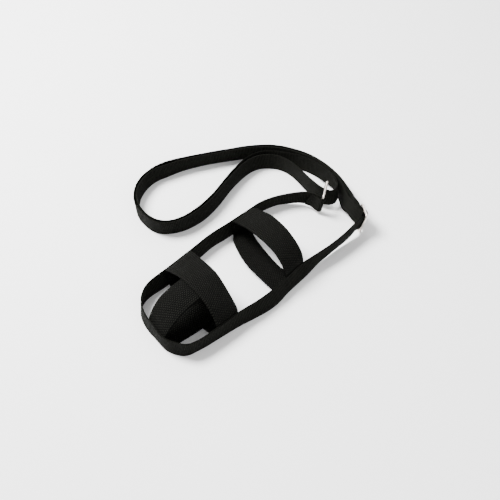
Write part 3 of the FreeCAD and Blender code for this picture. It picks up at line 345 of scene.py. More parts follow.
LOWER_BAND = [
    (-95.8, -21.0, 2.9, -89.6, -20.7, 2.9, -83.5, -20.1, 2.9, -77.3, -19.5, 2.9, -71.2, -18.9, 2.9, -65.0, -18.3, 2.9, -58.7, -17.7, 3.0),
    (-95.8, -20.2, 6.3, -89.6, -19.8, 6.3, -83.5, -19.3, 6.3, -77.4, -18.8, 6.3, -71.2, -18.2, 6.4, -65.0, -17.6, 6.4, -58.7, -17.1, 6.4),
    (-95.8, -19.3, 9.7, -89.7, -18.9, 9.7, -83.6, -18.5, 9.7, -77.4, -18.0, 9.8, -71.2, -17.5, 9.8, -65.0, -16.9, 9.8, -58.8, -16.4, 9.8),
    (-95.9, -18.3, 13.6, -89.8, -17.9, 13.6, -83.6, -17.5, 13.6, -77.5, -17.1, 13.7, -71.3, -16.6, 13.7, -65.1, -16.2, 13.7, -58.8, -15.7, 13.8),
    (-95.9, -17.3, 17.4, -89.8, -17.0, 17.4, -83.7, -16.6, 17.5, -77.5, -16.2, 17.6, -71.4, -15.8, 17.6, -65.1, -15.4, 17.7, -58.9, -15.0, 17.7),
    (-96.0, -18.0, 20.6, -89.9, -17.7, 20.7, -83.8, -17.3, 20.8, -77.7, -16.9, 20.9, -71.5, -16.6, 21.0, -65.3, -16.1, 21.1, -59.0, -15.8, 21.2),
    (-96.3, -20.1, 22.4, -90.3, -19.8, 22.6, -84.2, -19.5, 22.7, -78.1, -19.1, 22.9, -71.9, -18.7, 23.0, -65.8, -18.3, 23.1, -59.5, -18.0, 23.3),
    (-96.8, -23.6, 24.7, -90.8, -23.3, 24.8, -84.8, -23.0, 24.9, -78.7, -22.6, 25.0, -72.6, -22.3, 25.2, -66.5, -21.9, 25.3, -60.3, -21.5, 25.4),
    (-97.5, -28.3, 27.2, -91.6, -28.1, 27.2, -85.6, -27.8, 27.3, -79.6, -27.4, 27.3, -73.6, -27.1, 27.4, -67.5, -26.8, 27.4, -61.4, -26.4, 27.5),
    (-98.4, -34.1, 30.0, -92.5, -34.0, 29.9, -86.6, -33.7, 29.9, -80.7, -33.4, 29.8, -74.8, -33.0, 29.7, -68.8, -32.7, 29.6, -62.7, -32.4, 29.6),
    (-99.3, -40.9, 33.4, -93.6, -40.7, 33.1, -87.8, -40.5, 32.8, -82.0, -40.2, 32.5, -76.1, -39.9, 32.2, -70.2, -39.6, 31.9, -64.2, -39.4, 31.6),
    (-100.4, -48.4, 36.1, -94.8, -48.2, 35.8, -89.1, -48.1, 35.5, -83.4, -47.8, 35.1, -77.6, -47.6, 34.8, -71.8, -47.3, 34.4, -66.0, -47.0, 34.1),
    (-101.6, -56.3, 38.0, -96.0, -56.2, 37.7, -90.5, -56.1, 37.5, -84.9, -55.9, 37.3, -79.2, -55.7, 37.1, -73.5, -55.4, 36.9, -67.8, -55.2, 36.7),
    (-102.8, -64.5, 39.0, -97.3, -64.5, 39.0, -91.9, -64.4, 38.9, -86.4, -64.3, 38.9, -80.9, -64.1, 38.8, -75.2, -63.9, 38.8, -69.6, -63.7, 38.7),
    (-104.0, -72.7, 39.4, -98.6, -72.8, 39.4, -93.3, -72.7, 39.4, -88.0, -72.6, 39.5, -82.5, -72.4, 39.5, -77.0, -72.3, 39.6, -71.5, -72.2, 39.6),
    (-105.1, -80.7, 39.2, -99.9, -80.8, 39.0, -94.7, -80.8, 38.9, -89.4, -80.7, 38.8, -84.1, -80.6, 38.6, -78.7, -80.4, 38.5, -73.3, -80.3, 38.4),
    (-106.2, -88.1, 38.3, -101.1, -88.3, 37.8, -96.0, -88.3, 37.3, -90.8, -88.3, 36.9, -85.6, -88.2, 36.4, -80.3, -88.1, 35.9, -75.0, -88.0, 35.5),
    (-107.2, -94.9, 36.1, -102.2, -95.1, 35.5, -97.2, -95.2, 34.8, -92.1, -95.2, 34.2, -87.0, -95.1, 33.5, -81.8, -95.0, 32.9, -76.5, -95.0, 32.2),
    (-108.0, -100.7, 32.7, -103.1, -100.9, 32.2, -98.2, -101.1, 31.7, -93.2, -101.1, 31.2, -88.1, -101.0, 30.6, -83.0, -101.0, 30.1, -77.9, -101.0, 29.6),
    (-108.7, -105.4, 27.8, -103.8, -105.7, 27.6, -99.0, -105.8, 27.5, -94.1, -105.9, 27.4, -89.1, -105.8, 27.3, -84.0, -105.8, 27.2, -79.0, -105.9, 27.0),
    (-109.2, -108.9, 24.3, -104.4, -109.2, 24.3, -99.6, -109.4, 24.3, -94.7, -109.4, 24.4, -89.8, -109.4, 24.4, -84.8, -109.4, 24.4, -79.7, -109.4, 24.4),
    (-109.5, -111.0, 21.4, -104.7, -111.3, 21.5, -100.0, -111.5, 21.5, -95.1, -111.6, 21.6, -90.2, -111.6, 21.6, -85.2, -111.5, 21.7, -80.2, -111.6, 21.7),
    (-109.6, -111.8, 18.0, -104.9, -112.0, 18.0, -100.1, -112.2, 18.0, -95.3, -112.3, 18.0, -90.4, -112.3, 18.0, -85.4, -112.3, 17.9, -80.4, -112.4, 17.9),
    (-109.6, -111.5, 14.0, -104.8, -111.9, 14.0, -100.1, -112.2, 14.0, -95.3, -112.4, 14.0, -90.4, -112.5, 14.0, -85.4, -112.6, 13.9, -80.4, -112.9, 13.9),
    (-109.6, -111.3, 10.0, -104.8, -111.7, 10.0, -100.1, -112.1, 10.0, -95.3, -112.4, 10.0, -90.4, -112.7, 10.0, -85.4, -113.0, 10.0, -80.4, -113.3, 9.9),
    (-109.6, -111.2, 6.5, -104.8, -111.6, 6.5, -100.1, -112.0, 6.5, -95.3, -112.4, 6.5, -90.3, -112.8, 6.5, -85.4, -113.2, 6.5, -80.5, -113.8, 6.5),
    (-109.6, -111.0, 3.0, -104.8, -111.4, 3.0, -100.1, -111.9, 3.0, -95.3, -112.5, 3.0, -90.3, -113.0, 3.0, -85.4, -113.5, 3.0, -80.5, -114.2, 3.0),
    (-109.4, -109.3, 1.0, -104.7, -109.8, 1.0, -100.0, -110.3, 1.0, -95.2, -110.9, 1.0, -90.3, -111.5, 1.0, -85.2, -112.1, 1.0, -80.3, -112.8, 1.0),
    (-110.8, -100.1, 0.9, -105.9, -100.5, 0.9, -101.0, -100.9, 0.9, -96.1, -101.4, 0.9, -91.0, -101.9, 0.9, -85.8, -102.4, 0.9, -80.7, -103.0, 0.9),
    (-111.1, -91.1, 0.9, -106.0, -91.5, 0.9, -101.0, -91.8, 0.9, -95.9, -92.1, 0.9, -90.6, -92.5, 0.9, -85.3, -92.9, 0.9, -80.0, -93.4, 0.9),
    (-110.8, -82.3, 0.9, -105.5, -82.6, 0.9, -100.3, -82.8, 0.9, -95.0, -83.0, 0.9, -89.6, -83.2, 0.9, -84.2, -83.5, 0.9, -78.8, -83.9, 0.9),
    (-109.8, -73.6, 0.9, -104.4, -73.8, 0.9, -99.0, -73.9, 0.9, -93.6, -74.0, 0.9, -88.1, -74.1, 0.9, -82.5, -74.2, 0.9, -77.0, -74.5, 0.9),
    (-108.2, -65.0, 0.9, -102.7, -65.1, 0.9, -97.2, -65.1, 0.9, -91.6, -65.1, 0.9, -86.0, -65.1, 0.9, -80.3, -65.1, 0.9, -74.7, -65.2, 0.9),
    (-106.3, -56.5, 0.9, -100.6, -56.5, 0.9, -94.9, -56.4, 0.9, -89.2, -56.3, 0.9, -83.5, -56.1, 0.9, -77.7, -56.0, 0.9, -71.9, -56.0, 0.9),
    (-103.9, -48.1, 0.9, -98.1, -48.0, 0.9, -92.3, -47.8, 0.9, -86.5, -47.5, 0.9, -80.7, -47.3, 0.9, -74.8, -47.0, 0.9, -68.8, -46.8, 0.9),
    (-101.3, -39.8, 0.9, -95.3, -39.6, 0.9, -89.4, -39.2, 0.9, -83.5, -38.9, 0.9, -77.6, -38.5, 0.9, -71.6, -38.1, 0.9, -65.5, -37.7, 0.9),
    (-98.5, -31.4, 0.9, -92.4, -31.1, 0.9, -86.4, -30.7, 0.9, -80.4, -30.2, 0.9, -74.3, -29.7, 0.9, -68.2, -29.2, 0.9, -62.1, -28.6, 0.9),
    (-95.7, -23.1, 1.0, -89.5, -22.7, 1.0, -83.3, -22.2, 1.0, -77.2, -21.6, 1.0, -71.0, -20.9, 1.0, -64.8, -20.3, 1.0, -58.5, -19.6, 1.0),
]
BASE_BAND = [
    (-75.8, -47.5, 32.8, -77.0, -54.0, 34.7, -78.1, -59.0, 35.9, -79.4, -65.7, 37.0, -80.4, -70.7, 37.5, -81.7, -77.3, 37.1, -83.0, -83.6, 35.8),
    (-88.2, -48.0, 33.5, -89.3, -54.5, 35.2, -90.2, -59.4, 36.2, -91.3, -66.1, 37.1, -92.2, -71.0, 37.4, -93.3, -77.5, 37.2, -94.4, -83.8, 36.3),
    (-100.4, -48.4, 34.2, -101.3, -54.7, 35.7, -102.0, -59.6, 36.5, -103.0, -66.2, 37.2, -103.7, -71.1, 37.4, -104.6, -77.5, 37.4, -105.5, -83.7, 36.9),
    (-120.8, -48.5, 32.7, -121.9, -54.8, 34.0, -122.9, -60.3, 34.7, -124.1, -66.7, 35.3, -125.1, -72.2, 35.5, -126.0, -78.3, 35.5, -126.5, -84.2, 35.1),
    (-135.4, -48.7, 28.0, -136.7, -55.0, 28.8, -137.9, -60.9, 29.3, -139.2, -67.2, 29.7, -140.4, -73.0, 29.9, -141.3, -79.0, 29.8, -141.5, -84.6, 29.6),
    (-149.9, -53.6, 18.6, -151.1, -59.0, 18.6, -152.4, -64.5, 18.6, -153.7, -70.0, 18.6, -154.9, -75.3, 18.5, -155.7, -80.3, 18.6, -155.5, -84.9, 18.6),
    (-149.7, -53.6, 14.5, -150.9, -59.1, 14.5, -152.2, -64.6, 14.5, -153.5, -70.0, 14.5, -154.6, -75.3, 14.5, -155.4, -80.3, 14.5, -155.3, -84.9, 14.5),
    (-149.6, -53.6, 10.0, -150.7, -59.1, 10.0, -151.9, -64.7, 10.0, -153.2, -70.1, 10.0, -154.3, -75.4, 10.0, -155.0, -80.3, 10.0, -155.1, -84.9, 10.0),
    (-149.4, -53.7, 6.0, -150.6, -59.2, 6.0, -151.7, -64.7, 6.0, -152.9, -70.2, 6.0, -154.0, -75.5, 6.0, -154.8, -80.4, 6.0, -154.9, -84.8, 6.0),
    (-149.3, -53.7, 3.0, -150.4, -59.2, 3.0, -151.6, -64.8, 3.0, -152.7, -70.2, 3.0, -153.8, -75.5, 3.0, -154.5, -80.4, 3.0, -154.7, -84.8, 3.0),
    (-147.6, -54.1, 0.9, -148.8, -60.0, 0.9, -149.9, -66.0, 0.9, -151.1, -72.0, 0.9, -152.2, -77.6, 0.9, -153.1, -82.7, 0.9, -153.4, -87.2, 0.9),
    (-136.8, -53.1, 0.9, -138.2, -59.1, 0.9, -139.4, -65.3, 0.9, -140.6, -71.6, 0.9, -141.7, -77.4, 0.9, -142.5, -83.2, 0.9, -142.8, -88.5, 0.9),
    (-126.1, -52.2, 0.9, -127.5, -58.3, 0.9, -128.8, -64.5, 0.9, -130.2, -71.2, 0.9, -131.2, -77.3, 0.9, -132.0, -83.6, 0.9, -132.2, -89.7, 0.9),
    (-115.3, -51.2, 0.9, -116.9, -57.4, 0.9, -118.3, -63.7, 0.9, -119.7, -70.8, 0.9, -120.7, -77.1, 0.9, -121.4, -84.1, 0.9, -121.7, -91.0, 0.9),
    (-108.0, -50.5, 1.7, -109.7, -56.8, 1.7, -111.1, -63.2, 1.7, -112.6, -70.5, 1.7, -113.5, -76.9, 1.7, -114.2, -84.4, 1.7, -114.5, -91.8, 1.7),
    (-102.5, -50.2, 2.6, -104.3, -56.5, 2.6, -105.8, -62.9, 2.6, -107.2, -70.3, 2.6, -108.2, -76.8, 2.6, -108.9, -84.5, 2.6, -109.1, -92.2, 2.6),
    (-83.7, -49.6, 2.8, -85.8, -56.2, 2.8, -87.6, -62.9, 2.8, -89.3, -69.6, 2.8, -90.7, -76.3, 2.8, -91.8, -83.2, 2.8, -92.5, -90.0, 2.8),
]

SL_O, SL_U, SL_V = [np.array(q, float) for q in ((119.87, -108.66, 13.61), (-0.58553, -0.81065, 0.00048), (0.22200, -0.15978, 0.96187))]
SL_N = np.cross(SL_V, SL_U)


def local_row(a, b, lean=None, rise=0.0):
    # a webbing row at (a along the strap, b out of it) in the slider's own axes
    w = SL_V if lean is None else lean / np.linalg.norm(lean)
    c = SL_O + SL_U * a + SL_N * b + np.array([0, 0, rise])
    return list(c - 10 * w) + list(c + 10 * w)


# ------------------------------------------------------------------ meshes
def catmull(R, per, closed=False):
    R = np.asarray(R, float)
    n = len(R)
    out = []
    span = n if closed else n - 1
    for i in range(span):
        if closed:
            p0, p1, p2, p3 = R[(i - 1) % n], R[i], R[(i + 1) % n], R[(i + 2) % n]
        else:
            p1, p2 = R[i], R[i + 1]
            p0 = R[i - 1] if i > 0 else 2 * p1 - p2
            p3 = R[i + 2] if i + 2 < n else 2 * p2 - p1
        # centripetal spacing keeps tight folds round
        def dist(a, b):
            return max(np.linalg.norm((a - b).reshape(-1)[:3]), 1e-6) ** 0.5
        t0 = 0.0; t1 = t0 + dist(p0, p1); t2 = t1 + dist(p1, p2); t3 = t2 + dist(p2, p3)
        for k in range(per):
            t = t1 + (t2 - t1) * k / per
            a1 = p0 * (t1 - t) / (t1 - t0) + p1 * (t - t0) / (t1 - t0)
            a2 = p1 * (t2 - t) / (t2 - t1) + p2 * (t - t1) / (t2 - t1)
            a3 = p2 * (t3 - t) / (t3 - t2) + p3 * (t - t2) / (t3 - t2)
            b1 = a1 * (t2 - t) / (t2 - t0) + a2 * (t - t0) / (t2 - t0)
            b2 = a2 * (t3 - t) / (t3 - t1) + a3 * (t - t1) / (t3 - t1)
            out.append(b1 * (t2 - t) / (t2 - t1) + b2 * (t - t1) / (t2 - t1))
    if not closed:
        out.append(R[-1].copy())
    return np.array(out)


def grid_from_rows(rows, cols):
    rows = np.asarray(rows, float)
    lo, hi = rows[:, None, :3], rows[:, None, 3:]
    f = np.linspace(0, 1, cols)[None, :, None]
    return lo * (1 - f) + hi * f


def normals(G, closed):
    if closed:
        dr = np.roll(G, -1, 0) - np.roll(G, 1, 0)
    else:
        dr = np.gradient(G, axis=0)
    dc = np.gradient(G, axis=1)
    n = np.cross(dr, dc)
    return n / np.maximum(np.linalg.norm(n, axis=2, keepdims=True), 1e-9), dc


def sheet_mesh(name, G, thick, closed=False, u0=0.0, wave=0.0, seed=1):
    """A thick strip from a grid of middle points in mm, rounded along its long edges."""
    nr, nc = G.shape[:2]
    N, dc = normals(G, closed)
    h = thick / 2.0
    side0 = -dc[:, 0] / np.linalg.norm(dc[:, 0], axis=1, keepdims=True)
    side1 = dc[:, -1] / np.linalg.norm(dc[:, -1], axis=1, keepdims=True)
    G = G.copy()
    G[:, 0] -= side0 * h * 0.75
    G[:, -1] -= side1 * h * 0.75
    seg = np.linalg.norm(np.diff(G[:, nc // 2], axis=0), axis=1)
    u = u0 + np.concatenate([[0], np.cumsum(seg)])
    wd = np.linalg.norm(np.diff(G.mean(0), axis=0), axis=1)
    width = np.linalg.norm(np.diff(G, axis=1), axis=2).mean(0)
    vv = np.concatenate([[0], np.cumsum(width)])
    if wave:
        rng = np.random.RandomState(seed)
        ph = rng.rand(6) * 6.283
        fr = rng.rand(6) * 0.12 + 0.03
        for i in range(6):
            G = G + N * (wave / 3.0 * np.sin(u[:, None] * fr[i] + ph[i] + np.linspace(-1, 1, nc)[None] * (1.5 * (-1) ** i)))[..., None]
    ang = [60, 30, 0, -30, -60]
    prof = []      # (positions per row, v)
    for c in range(nc):
        prof.append((G[:, c] + N[:, c] * h, vv[c]))
    for k, a in enumerate(ang):
        r = math.radians(a)
        prof.append((G[:, -1] + N[:, -1] * h * math.sin(r) + side1 * h * 0.95 * math.cos(r), vv[-1] + 0.25 * (k + 1)))
    for c in range(nc - 1, -1, -1):
        prof.append((G[:, c] - N[:, c] * h, 2 * vv[-1] + 1.5 - vv[c]))
    for k, a in enumerate(ang):
        r = math.radians(-a)
        prof.append((G[:, 0] + N[:, 0] * h * math.sin(r) + side0 * h * 0.95 * math.cos(r), 2 * vv[-1] + 1.5 + 0.25 * (k + 1)))
    m = len(prof)
    P = np.array([p for p, _ in prof]).transpose(1, 0, 2).reshape(-1, 3) / 1000.0
    V = [v for _, v in prof] + [2 * vv[-1] + 3.0]
    faces, uvs = [], []
    rr = nr if closed else nr - 1
    ulast = u[-1] + np.linalg.norm(G[0, nc // 2] - G[-1, nc // 2])
    for i in range(rr):
        j = (i + 1) % nr
        ua, ub = u[i], (ulast if j == 0 else u[j])
        for k in range(m):
            l = (k + 1) % m
            faces.append((i * m + k, j * m + k, j * m + l, i * m + l))
            uvs += [(ua, V[k]), (ub, V[k]), (ub, V[k + 1]), (ua, V[k + 1])]
    if not closed:
        # cut ends closed with strips across the thickness
        for i, flip in ((0, True), (nr - 1, False)):
            base = i * m
            top = [base + c for c in range(nc)]
            e1 = [base + nc + k for k in range(5)]
            bot = [base + nc + 5 + k for k in range(nc)]
            e0 = [base + 2 * nc + 5 + k for k in range(5)]
            ring = top + e1 + bot + e0
            for c in range(nc - 1):
                q = (top[c], top[c + 1], bot[nc - 2 - c], bot[nc - 1 - c])
                faces.append(q if not flip else q[::-1]); uvs += [(u[i], vv[c])] * 4
            q = tuple([top[-1]] + e1 + [bot[0]])
            faces.append(q if not flip else q[::-1]); uvs += [(u[i], 0.0)] * len(q)
            q = tuple([bot[-1]] + e0 + [top[0]])
            faces.append(q if not flip else q[::-1]); uvs += [(u[i], 0.0)] * len(q)
    me = bpy.data.meshes.new(name)
    me.from_pydata([tuple(p) for p in P], [], faces)
    lay = me.uv_layers.new(name="weave")
    lay.data.foreach_set("uv", np.array(uvs, float).reshape(-1) )
    me.update()
    # outward faces
    o = bpy.data.objects.new(name, me)
    bpy.context.scene.collection.objects.link(o)
    import bmesh
    bm = bmesh.new(); bm.from_mesh(me); bmesh.ops.recalc_face_normals(bm, faces=bm.faces); bm.to_mesh(me); bm.free()
    for p in me.polygons:
        p.use_smooth = True
    o["length_mm"] = float(ulast if closed else u[-1] - u0)
    return o


# ------------------------------------------------------------------ materials
def new_mat(name):
    m = bpy.data.materials.new(name)
    m.use_nodes = True
    nt = m.node_tree
    for nd in list(nt.nodes):
        nt.nodes.remove(nd)
    out = nt.nodes.new("ShaderNodeOutputMaterial")
    bs = nt.nodes.new("ShaderNodeBsdfPrincipled")
    nt.links.new(bs.outputs[0], out.inputs[0])
    return m, nt, bs


class NB:
    def __init__(self, nt):
        self.nt = nt

    def val(self, s, x):
        if isinstance(x, (int, float)):
            s.default_value = x
        else:
            self.nt.links.new(x, s)

    def math(self, op, a, b=None, c=None):
        n = self.nt.nodes.new("ShaderNodeMath"); n.operation = op
        self.val(n.inputs[0], a)
        if b is not None: self.val(n.inputs[1], b)
        if c is not None: self.val(n.inputs[2], c)
        return n.outputs[0]

    def noise(self, vec, scale, detail=3.0, rough=0.5):
        n = self.nt.nodes.new("ShaderNodeTexNoise")
        n.inputs["Scale"].default_value = scale
        n.inputs["Detail"].default_value = detail
        n.inputs["Roughness"].default_value = rough
        self.nt.links.new(vec, n.inputs["Vector"])
        return n.outputs[0]

    def ramp(self, f, stops):
        n = self.nt.nodes.new("ShaderNodeValToRGB")
        self.nt.links.new(f, n.inputs[0])
        el = n.color_ramp.elements
        el[0].position, el[0].color = stops[0]
        el[1].position, el[1].color = stops[-1]
        for p, c in stops[1:-1]:
            e = el.new(p); e.color = c
        return n.outputs[0]

    def mix(self, f, a, b, mode="MIX"):
        n = self.nt.nodes.new("ShaderNodeMix"); n.data_type = "RGBA"; n.blend_type = mode
        self.val(n.inputs[0], f)
        for s, x in ((n.inputs[6], a), (n.inputs[7], b)):
            if isinstance(x, tuple): s.default_value = x
            else: self.nt.links.new(x, s)
        return n.outputs[2]


def woven(name, dark, light, p, q, shift, bump, sheen, tint, rough=0.82, deep=1.3, dist=0.0005):
    """Woven surface: floats of length p along the strip in columns q wide, each column shifted."""
    m, nt, bs = new_mat(name)
    k = NB(nt)
    uv = nt.nodes.new("ShaderNodeUVMap"); uv.uv_map = "weave"
    sep = nt.nodes.new("ShaderNodeSeparateXYZ"); nt.links.new(uv.outputs[0], sep.inputs[0])
    U, V = sep.outputs[0], sep.outputs[1]
    geo = nt.nodes.new("ShaderNodeTexCoord")
    obj = geo.outputs["Object"]
    n1 = k.noise(obj, 900.0, 2.0)
    # threads are a little uneven
    Uw = k.math("ADD", U, k.math("MULTIPLY", k.math("SUBTRACT", n1, 0.5), 0.35 * p))
    Vw = k.math("ADD", V, k.math("MULTIPLY", k.math("SUBTRACT", k.noise(obj, 700.0, 1.0), 0.5), 0.25 * q))
    vc = k.math("DIVIDE", Vw, q)
    col = k.math("FLOOR", vc)
    fv = k.math("FRACT", vc)
    ph = k.math("ADD", k.math("DIVIDE", Uw, p), k.math("MULTIPLY", col, shift))
    across = k.math("SINE", k.math("MULTIPLY", fv, math.pi))
    along = k.math("MULTIPLY_ADD", k.math("COSINE", k.math("MULTIPLY", ph, 2 * math.pi)), 0.5, 0.5)
    h = k.math("MULTIPLY", k.math("POWER", across, 0.7), k.math("MULTIPLY_ADD", along, 0.75, 0.25))
    fuzz = k.noise(obj, 2600.0, 3.0, 0.6)
    hh = k.math("ADD", h, k.math("MULTIPLY", fuzz, 0.25))
    # the colour runs from the dark colour in the weave's recesses to the light colour on the raised threads: painted
    # shade in the recesses, over the threads' own near-black
    c = k.mix(k.math("POWER", k.math("MINIMUM", hh, 1.0), deep), dark, light)
    big = k.noise(obj, 28.0, 4.0, 0.55)
    c = k.mix(k.math("MAXIMUM", k.math("MULTIPLY", k.math("SUBTRACT", big, 0.42), 0.6), 0.0), c, tint)
    fleck = k.ramp(k.noise(obj, 1500.0, 1.0), [(0.62, (0, 0, 0, 1)), (0.74, (1, 1, 1, 1))])
    c = k.mix(k.math("MULTIPLY", fleck, 0.22), c, tuple([min(1, x * 2.6) for x in light[:3]] + [1]))
    nt.links.new(c, bs.inputs["Base Color"])
    r = k.math("MULTIPLY_ADD", big, 0.16, rough - 0.08)
    nt.links.new(r, bs.inputs["Roughness"])
    bs.inputs["Specular IOR Level"].default_value = 0.025
    bs.inputs["Sheen Weight"].default_value = sheen
    bs.inputs["Sheen Roughness"].default_value = 0.45
    bs.inputs["Sheen Tint"].default_value = (0.9, 0.92, 0.86, 1)
    b = nt.nodes.new("ShaderNodeBump")
    b.inputs["Strength"].default_value = bump
    b.inputs["Distance"].default_value = dist
    nt.links.new(hh, b.inputs["Height"])
    nt.links.new(b.outputs[0], bs.inputs["Normal"])
    return m


# in each weave the first colour is painted shade for the recesses between threads, and the second is the threads' own
# colour
WEB = woven("webbing_weave", (0.0003, 0.0004, 0.0002, 1), (0.0100, 0.0102, 0.0084, 1), 1.9, 1.25, 0.08, 1.0, 0.008, (0.0050, 0.0052, 0.0042, 1), deep=1.8, dist=0.0007)
ELA = woven("elastic_weave", (0.0001, 0.0001, 0.0001, 1), (0.0088, 0.0090, 0.0075, 1), 2.7, 2.2, 0.5, 1.0, 0.006, (0.0026, 0.0028, 0.0022, 1), deep=2.6, dist=0.0009)
THR, nt, bs = new_mat("thread")
bs.inputs["Base Color"].default_value = (0.012, 0.012, 0.0105, 1)
bs.inputs["Roughness"].default_value = 0.5
bs.inputs["Sheen Weight"].default_value = 0.2
k = NB(nt)
tc = nt.nodes.new("ShaderNodeTexCoord")
bb = nt.nodes.new("ShaderNodeBump"); bb.inputs["Strength"].default_value = 0.4; bb.inputs["Distance"].default_value = 0.0001
nt.links.new(k.noise(tc.outputs["Object"], 3000.0, 2.0), bb.inputs["Height"]); nt.links.new(bb.outputs[0], bs.inputs["Normal"])

MET, nt, bs = new_mat("satin_nickel")
k = NB(nt)
tc = nt.nodes.new("ShaderNodeTexCoord")
nz = k.noise(tc.outputs["Object"], 220.0, 4.0, 0.6)
fine = k.noise(tc.outputs["Object"], 2400.0, 2.0, 0.5)
nt.links.new(k.mix(nz, (0.66, 0.59, 0.54, 1), (0.83, 0.77, 0.72, 1)), bs.inputs["Base Color"])
bs.inputs["Metallic"].default_value = 1.0
nt.links.new(k.math("MULTIPLY_ADD", nz, 0.14, 0.20), bs.inputs["Roughness"])
bb = nt.nodes.new("ShaderNodeBump"); bb.inputs["Strength"].default_value = 0.12; bb.inputs["Distance"].default_value = 0.0001
nt.links.new(fine, bb.inputs["Height"]); nt.links.new(bb.outputs[0], bs.inputs["Normal"])

for nm in ("ring", "slider_frame", "slider_centre_bar"):
    o = frame["nodes"][nm] if isinstance(frame["nodes"], dict) else bpy.data.objects[nm]
    o.data.materials.clear()
    o.data.materials.append(MET)
    for p in o.data.polygons:
        p.use_smooth = True


def finish_piece(o, mat, body, nodes, blend=None):
    o.data.materials.clear()
    o.data.materials.append(mat)
    if blend:
        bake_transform(o)
    else:
        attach(o, body)
    if nodes:
        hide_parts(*nodes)
    return o


T = 1.4
NC = 9
# ------------------------------------------------------------------ shoulder strap
rows = catmull(SHOULDER, 4)
o = sheet_mesh("shoulder_strap", grid_from_rows(rows, NC), T, wave=0.16, seed=4)
finish_piece(o, WEB, "webbing",
             ["far_arc_outer_layer", "left_bend_outer_layer", "near_side_run", "ring_turn", "return_run",
              "left_bend_inner_layer", "far_arc_inner_layer"])


def world(a, b=0.0):
    return tuple((SL_O + SL_U * a + SL_N * b) / 1000.0)


def mixed(r0, r1, f):
    return [x * (1 - f) + y * f for x, y in zip(r0, r1)]


# threaded strap: down the outer face, over the centre bar and out past the near bar
HUMP = [(-13.8, -2.2), (-11.2, -2.15), (-9.1, -1.6), (-6.8, 0.4), (-4.5, 2.55), (-2.3, 3.7), (0.0, 4.1), (2.4, 3.7),
        (4.6, 2.4), (6.8, 0.2), (8.4, -2.7), (9.8, -4.9), (11.2, -6.7)]
up = [list(r) for r in UPPER_FEED]
lean0 = np.array(up[-1][3:]) - np.array(up[-1][:3]); lean0 = lean0 / np.linalg.norm(lean0)
c0 = (np.array(up[-1][3:]) + np.array(up[-1][:3])) / 2
a0 = (c0 - SL_O) @ SL_U; b0 = (c0 - SL_O) @ SL_N; v0 = (c0 - SL_O) @ SL_V
steps = []
for i in range(1, 5):
    f = i / 5.0
    g = f * f * (3 - 2 * f)
    w = lean0 * (1 - g) + SL_V * g
    w /= np.linalg.norm(w)
    c = SL_O + SL_U * (a0 * (1 - f) + -13.8 * f) + SL_N * (b0 * (1 - g) + -2.2 * g) + SL_V * v0 * (1 - g)
    steps.append(list(c - 10 * w) + list(c + 10 * w))
rows = catmull(up + steps + [local_row(a, b) for a, b in HUMP], 4)
o = sheet_mesh("threaded_strap_upper", grid_from_rows(rows, NC), T, seed=5)
finish_piece(o, WEB, None, ["outer_feed_run", "threaded_hump"],
             ("webbing", "slider", world(-66), world(-15)))

low = [list(r) for r in LOWER_FEED]
rows = catmull([local_row(11.2, -6.7), local_row(12.6, -8.3)] + low, 4)
for _ in range(40):
    rows[3:-1] = 0.5 * rows[3:-1] + 0.25 * (rows[2:-2] + rows[4:])
o = sheet_mesh("threaded_strap_lower", grid_from_rows(rows, NC), T, seed=6)
finish_piece(o, WEB, None, ["front_feed_run"],
             ("webbing", "slider", world(48), world(13)))

# sewn end: wraps the centre bar and is stitched back on itself
LOOP = [(-13.8, -4.05), (-10.8, -3.95), (-8.3, -3.4), (-5.6, -1.2), (-3.4, 0.9), (-1.7, 1.75), (0.0, 2.1),
        (1.5, 1.5), (2.1, 0.0), (1.5, -1.5), (0.0, -2.2), (-3.0, -3.7), (-6.8, -5.7), (-10.4, -6.9), (-13.8, -7.7)]
end = [list(r) for r in END_FEED]
leanE = np.array(end[-1][3:]) - np.array(end[-1][:3]); leanE /= np.linalg.norm(leanE)
cE = (np.array(end[-1][3:]) + np.array(end[-1][:3])) / 2
aE = (cE - SL_O) @ SL_U; bE = (cE - SL_O) @ SL_N; vE = (cE - SL_O) @ SL_V
long_ply, turned_ply = [], []
ply = lambda a: np.interp(a, [aE, -24, -18.5, -13.8], [bE, -9.1, -8.5, -7.7])
for a in np.linspace(aE, -13.8, 7)[1:-1]:
    f = (a - aE) / (-13.8 - aE); g = f * f * (3 - 2 * f)
    w = leanE * (1 - g) + SL_V * g; w /= np.linalg.norm(w)
    c = SL_O + SL_U * a + SL_N * ply(a) + SL_V * vE * (1 - g)
    long_ply.append(list(c - 10 * w) + list(c + 10 * w))
for a in np.linspace(-29.5, -13.8, 5)[:-1]:
    f = (a - aE) / (-13.8 - aE); g = f * f * (3 - 2 * f)
    w = leanE * (1 - g) + SL_V * g; w /= np.linalg.norm(w)
    c = SL_O + SL_U * a + SL_N * (ply(a) + 1.62 + 1.2 * g ** 3) + SL_V * vE * (1 - g)
    turned_ply.append(list(c - 10 * w) + list(c + 10 * w))
rows = catmull(end + long_ply + [local_row(a, b) for a, b in LOOP[::-1]] + turned_ply[::-1], 4)
o = sheet_mesh("sewn_strap_end", grid_from_rows(rows, NC), T, seed=7)
SEWN = rows
finish_piece(o, WEB, None, ["inner_feed_run", "sewn_end_long_ply", "sewn_end_turned_ply", "sewn_end_loop"],
             ("webbing", "slider", world(-80), world(-32)))

# cradle strap: front side, base, back side and the fold round the ring
rows = catmull([list(r) for r in CRADLE] + [list(r) for r in FOLD], 4)
CR = rows
o = sheet_mesh("cradle_strap", grid_from_rows(rows, NC), T, wave=0.10, seed=8)
finish_piece(o, WEB, "webbing", ["front_side_strap", "base_strap", "back_side_strap", "ring_fold"])


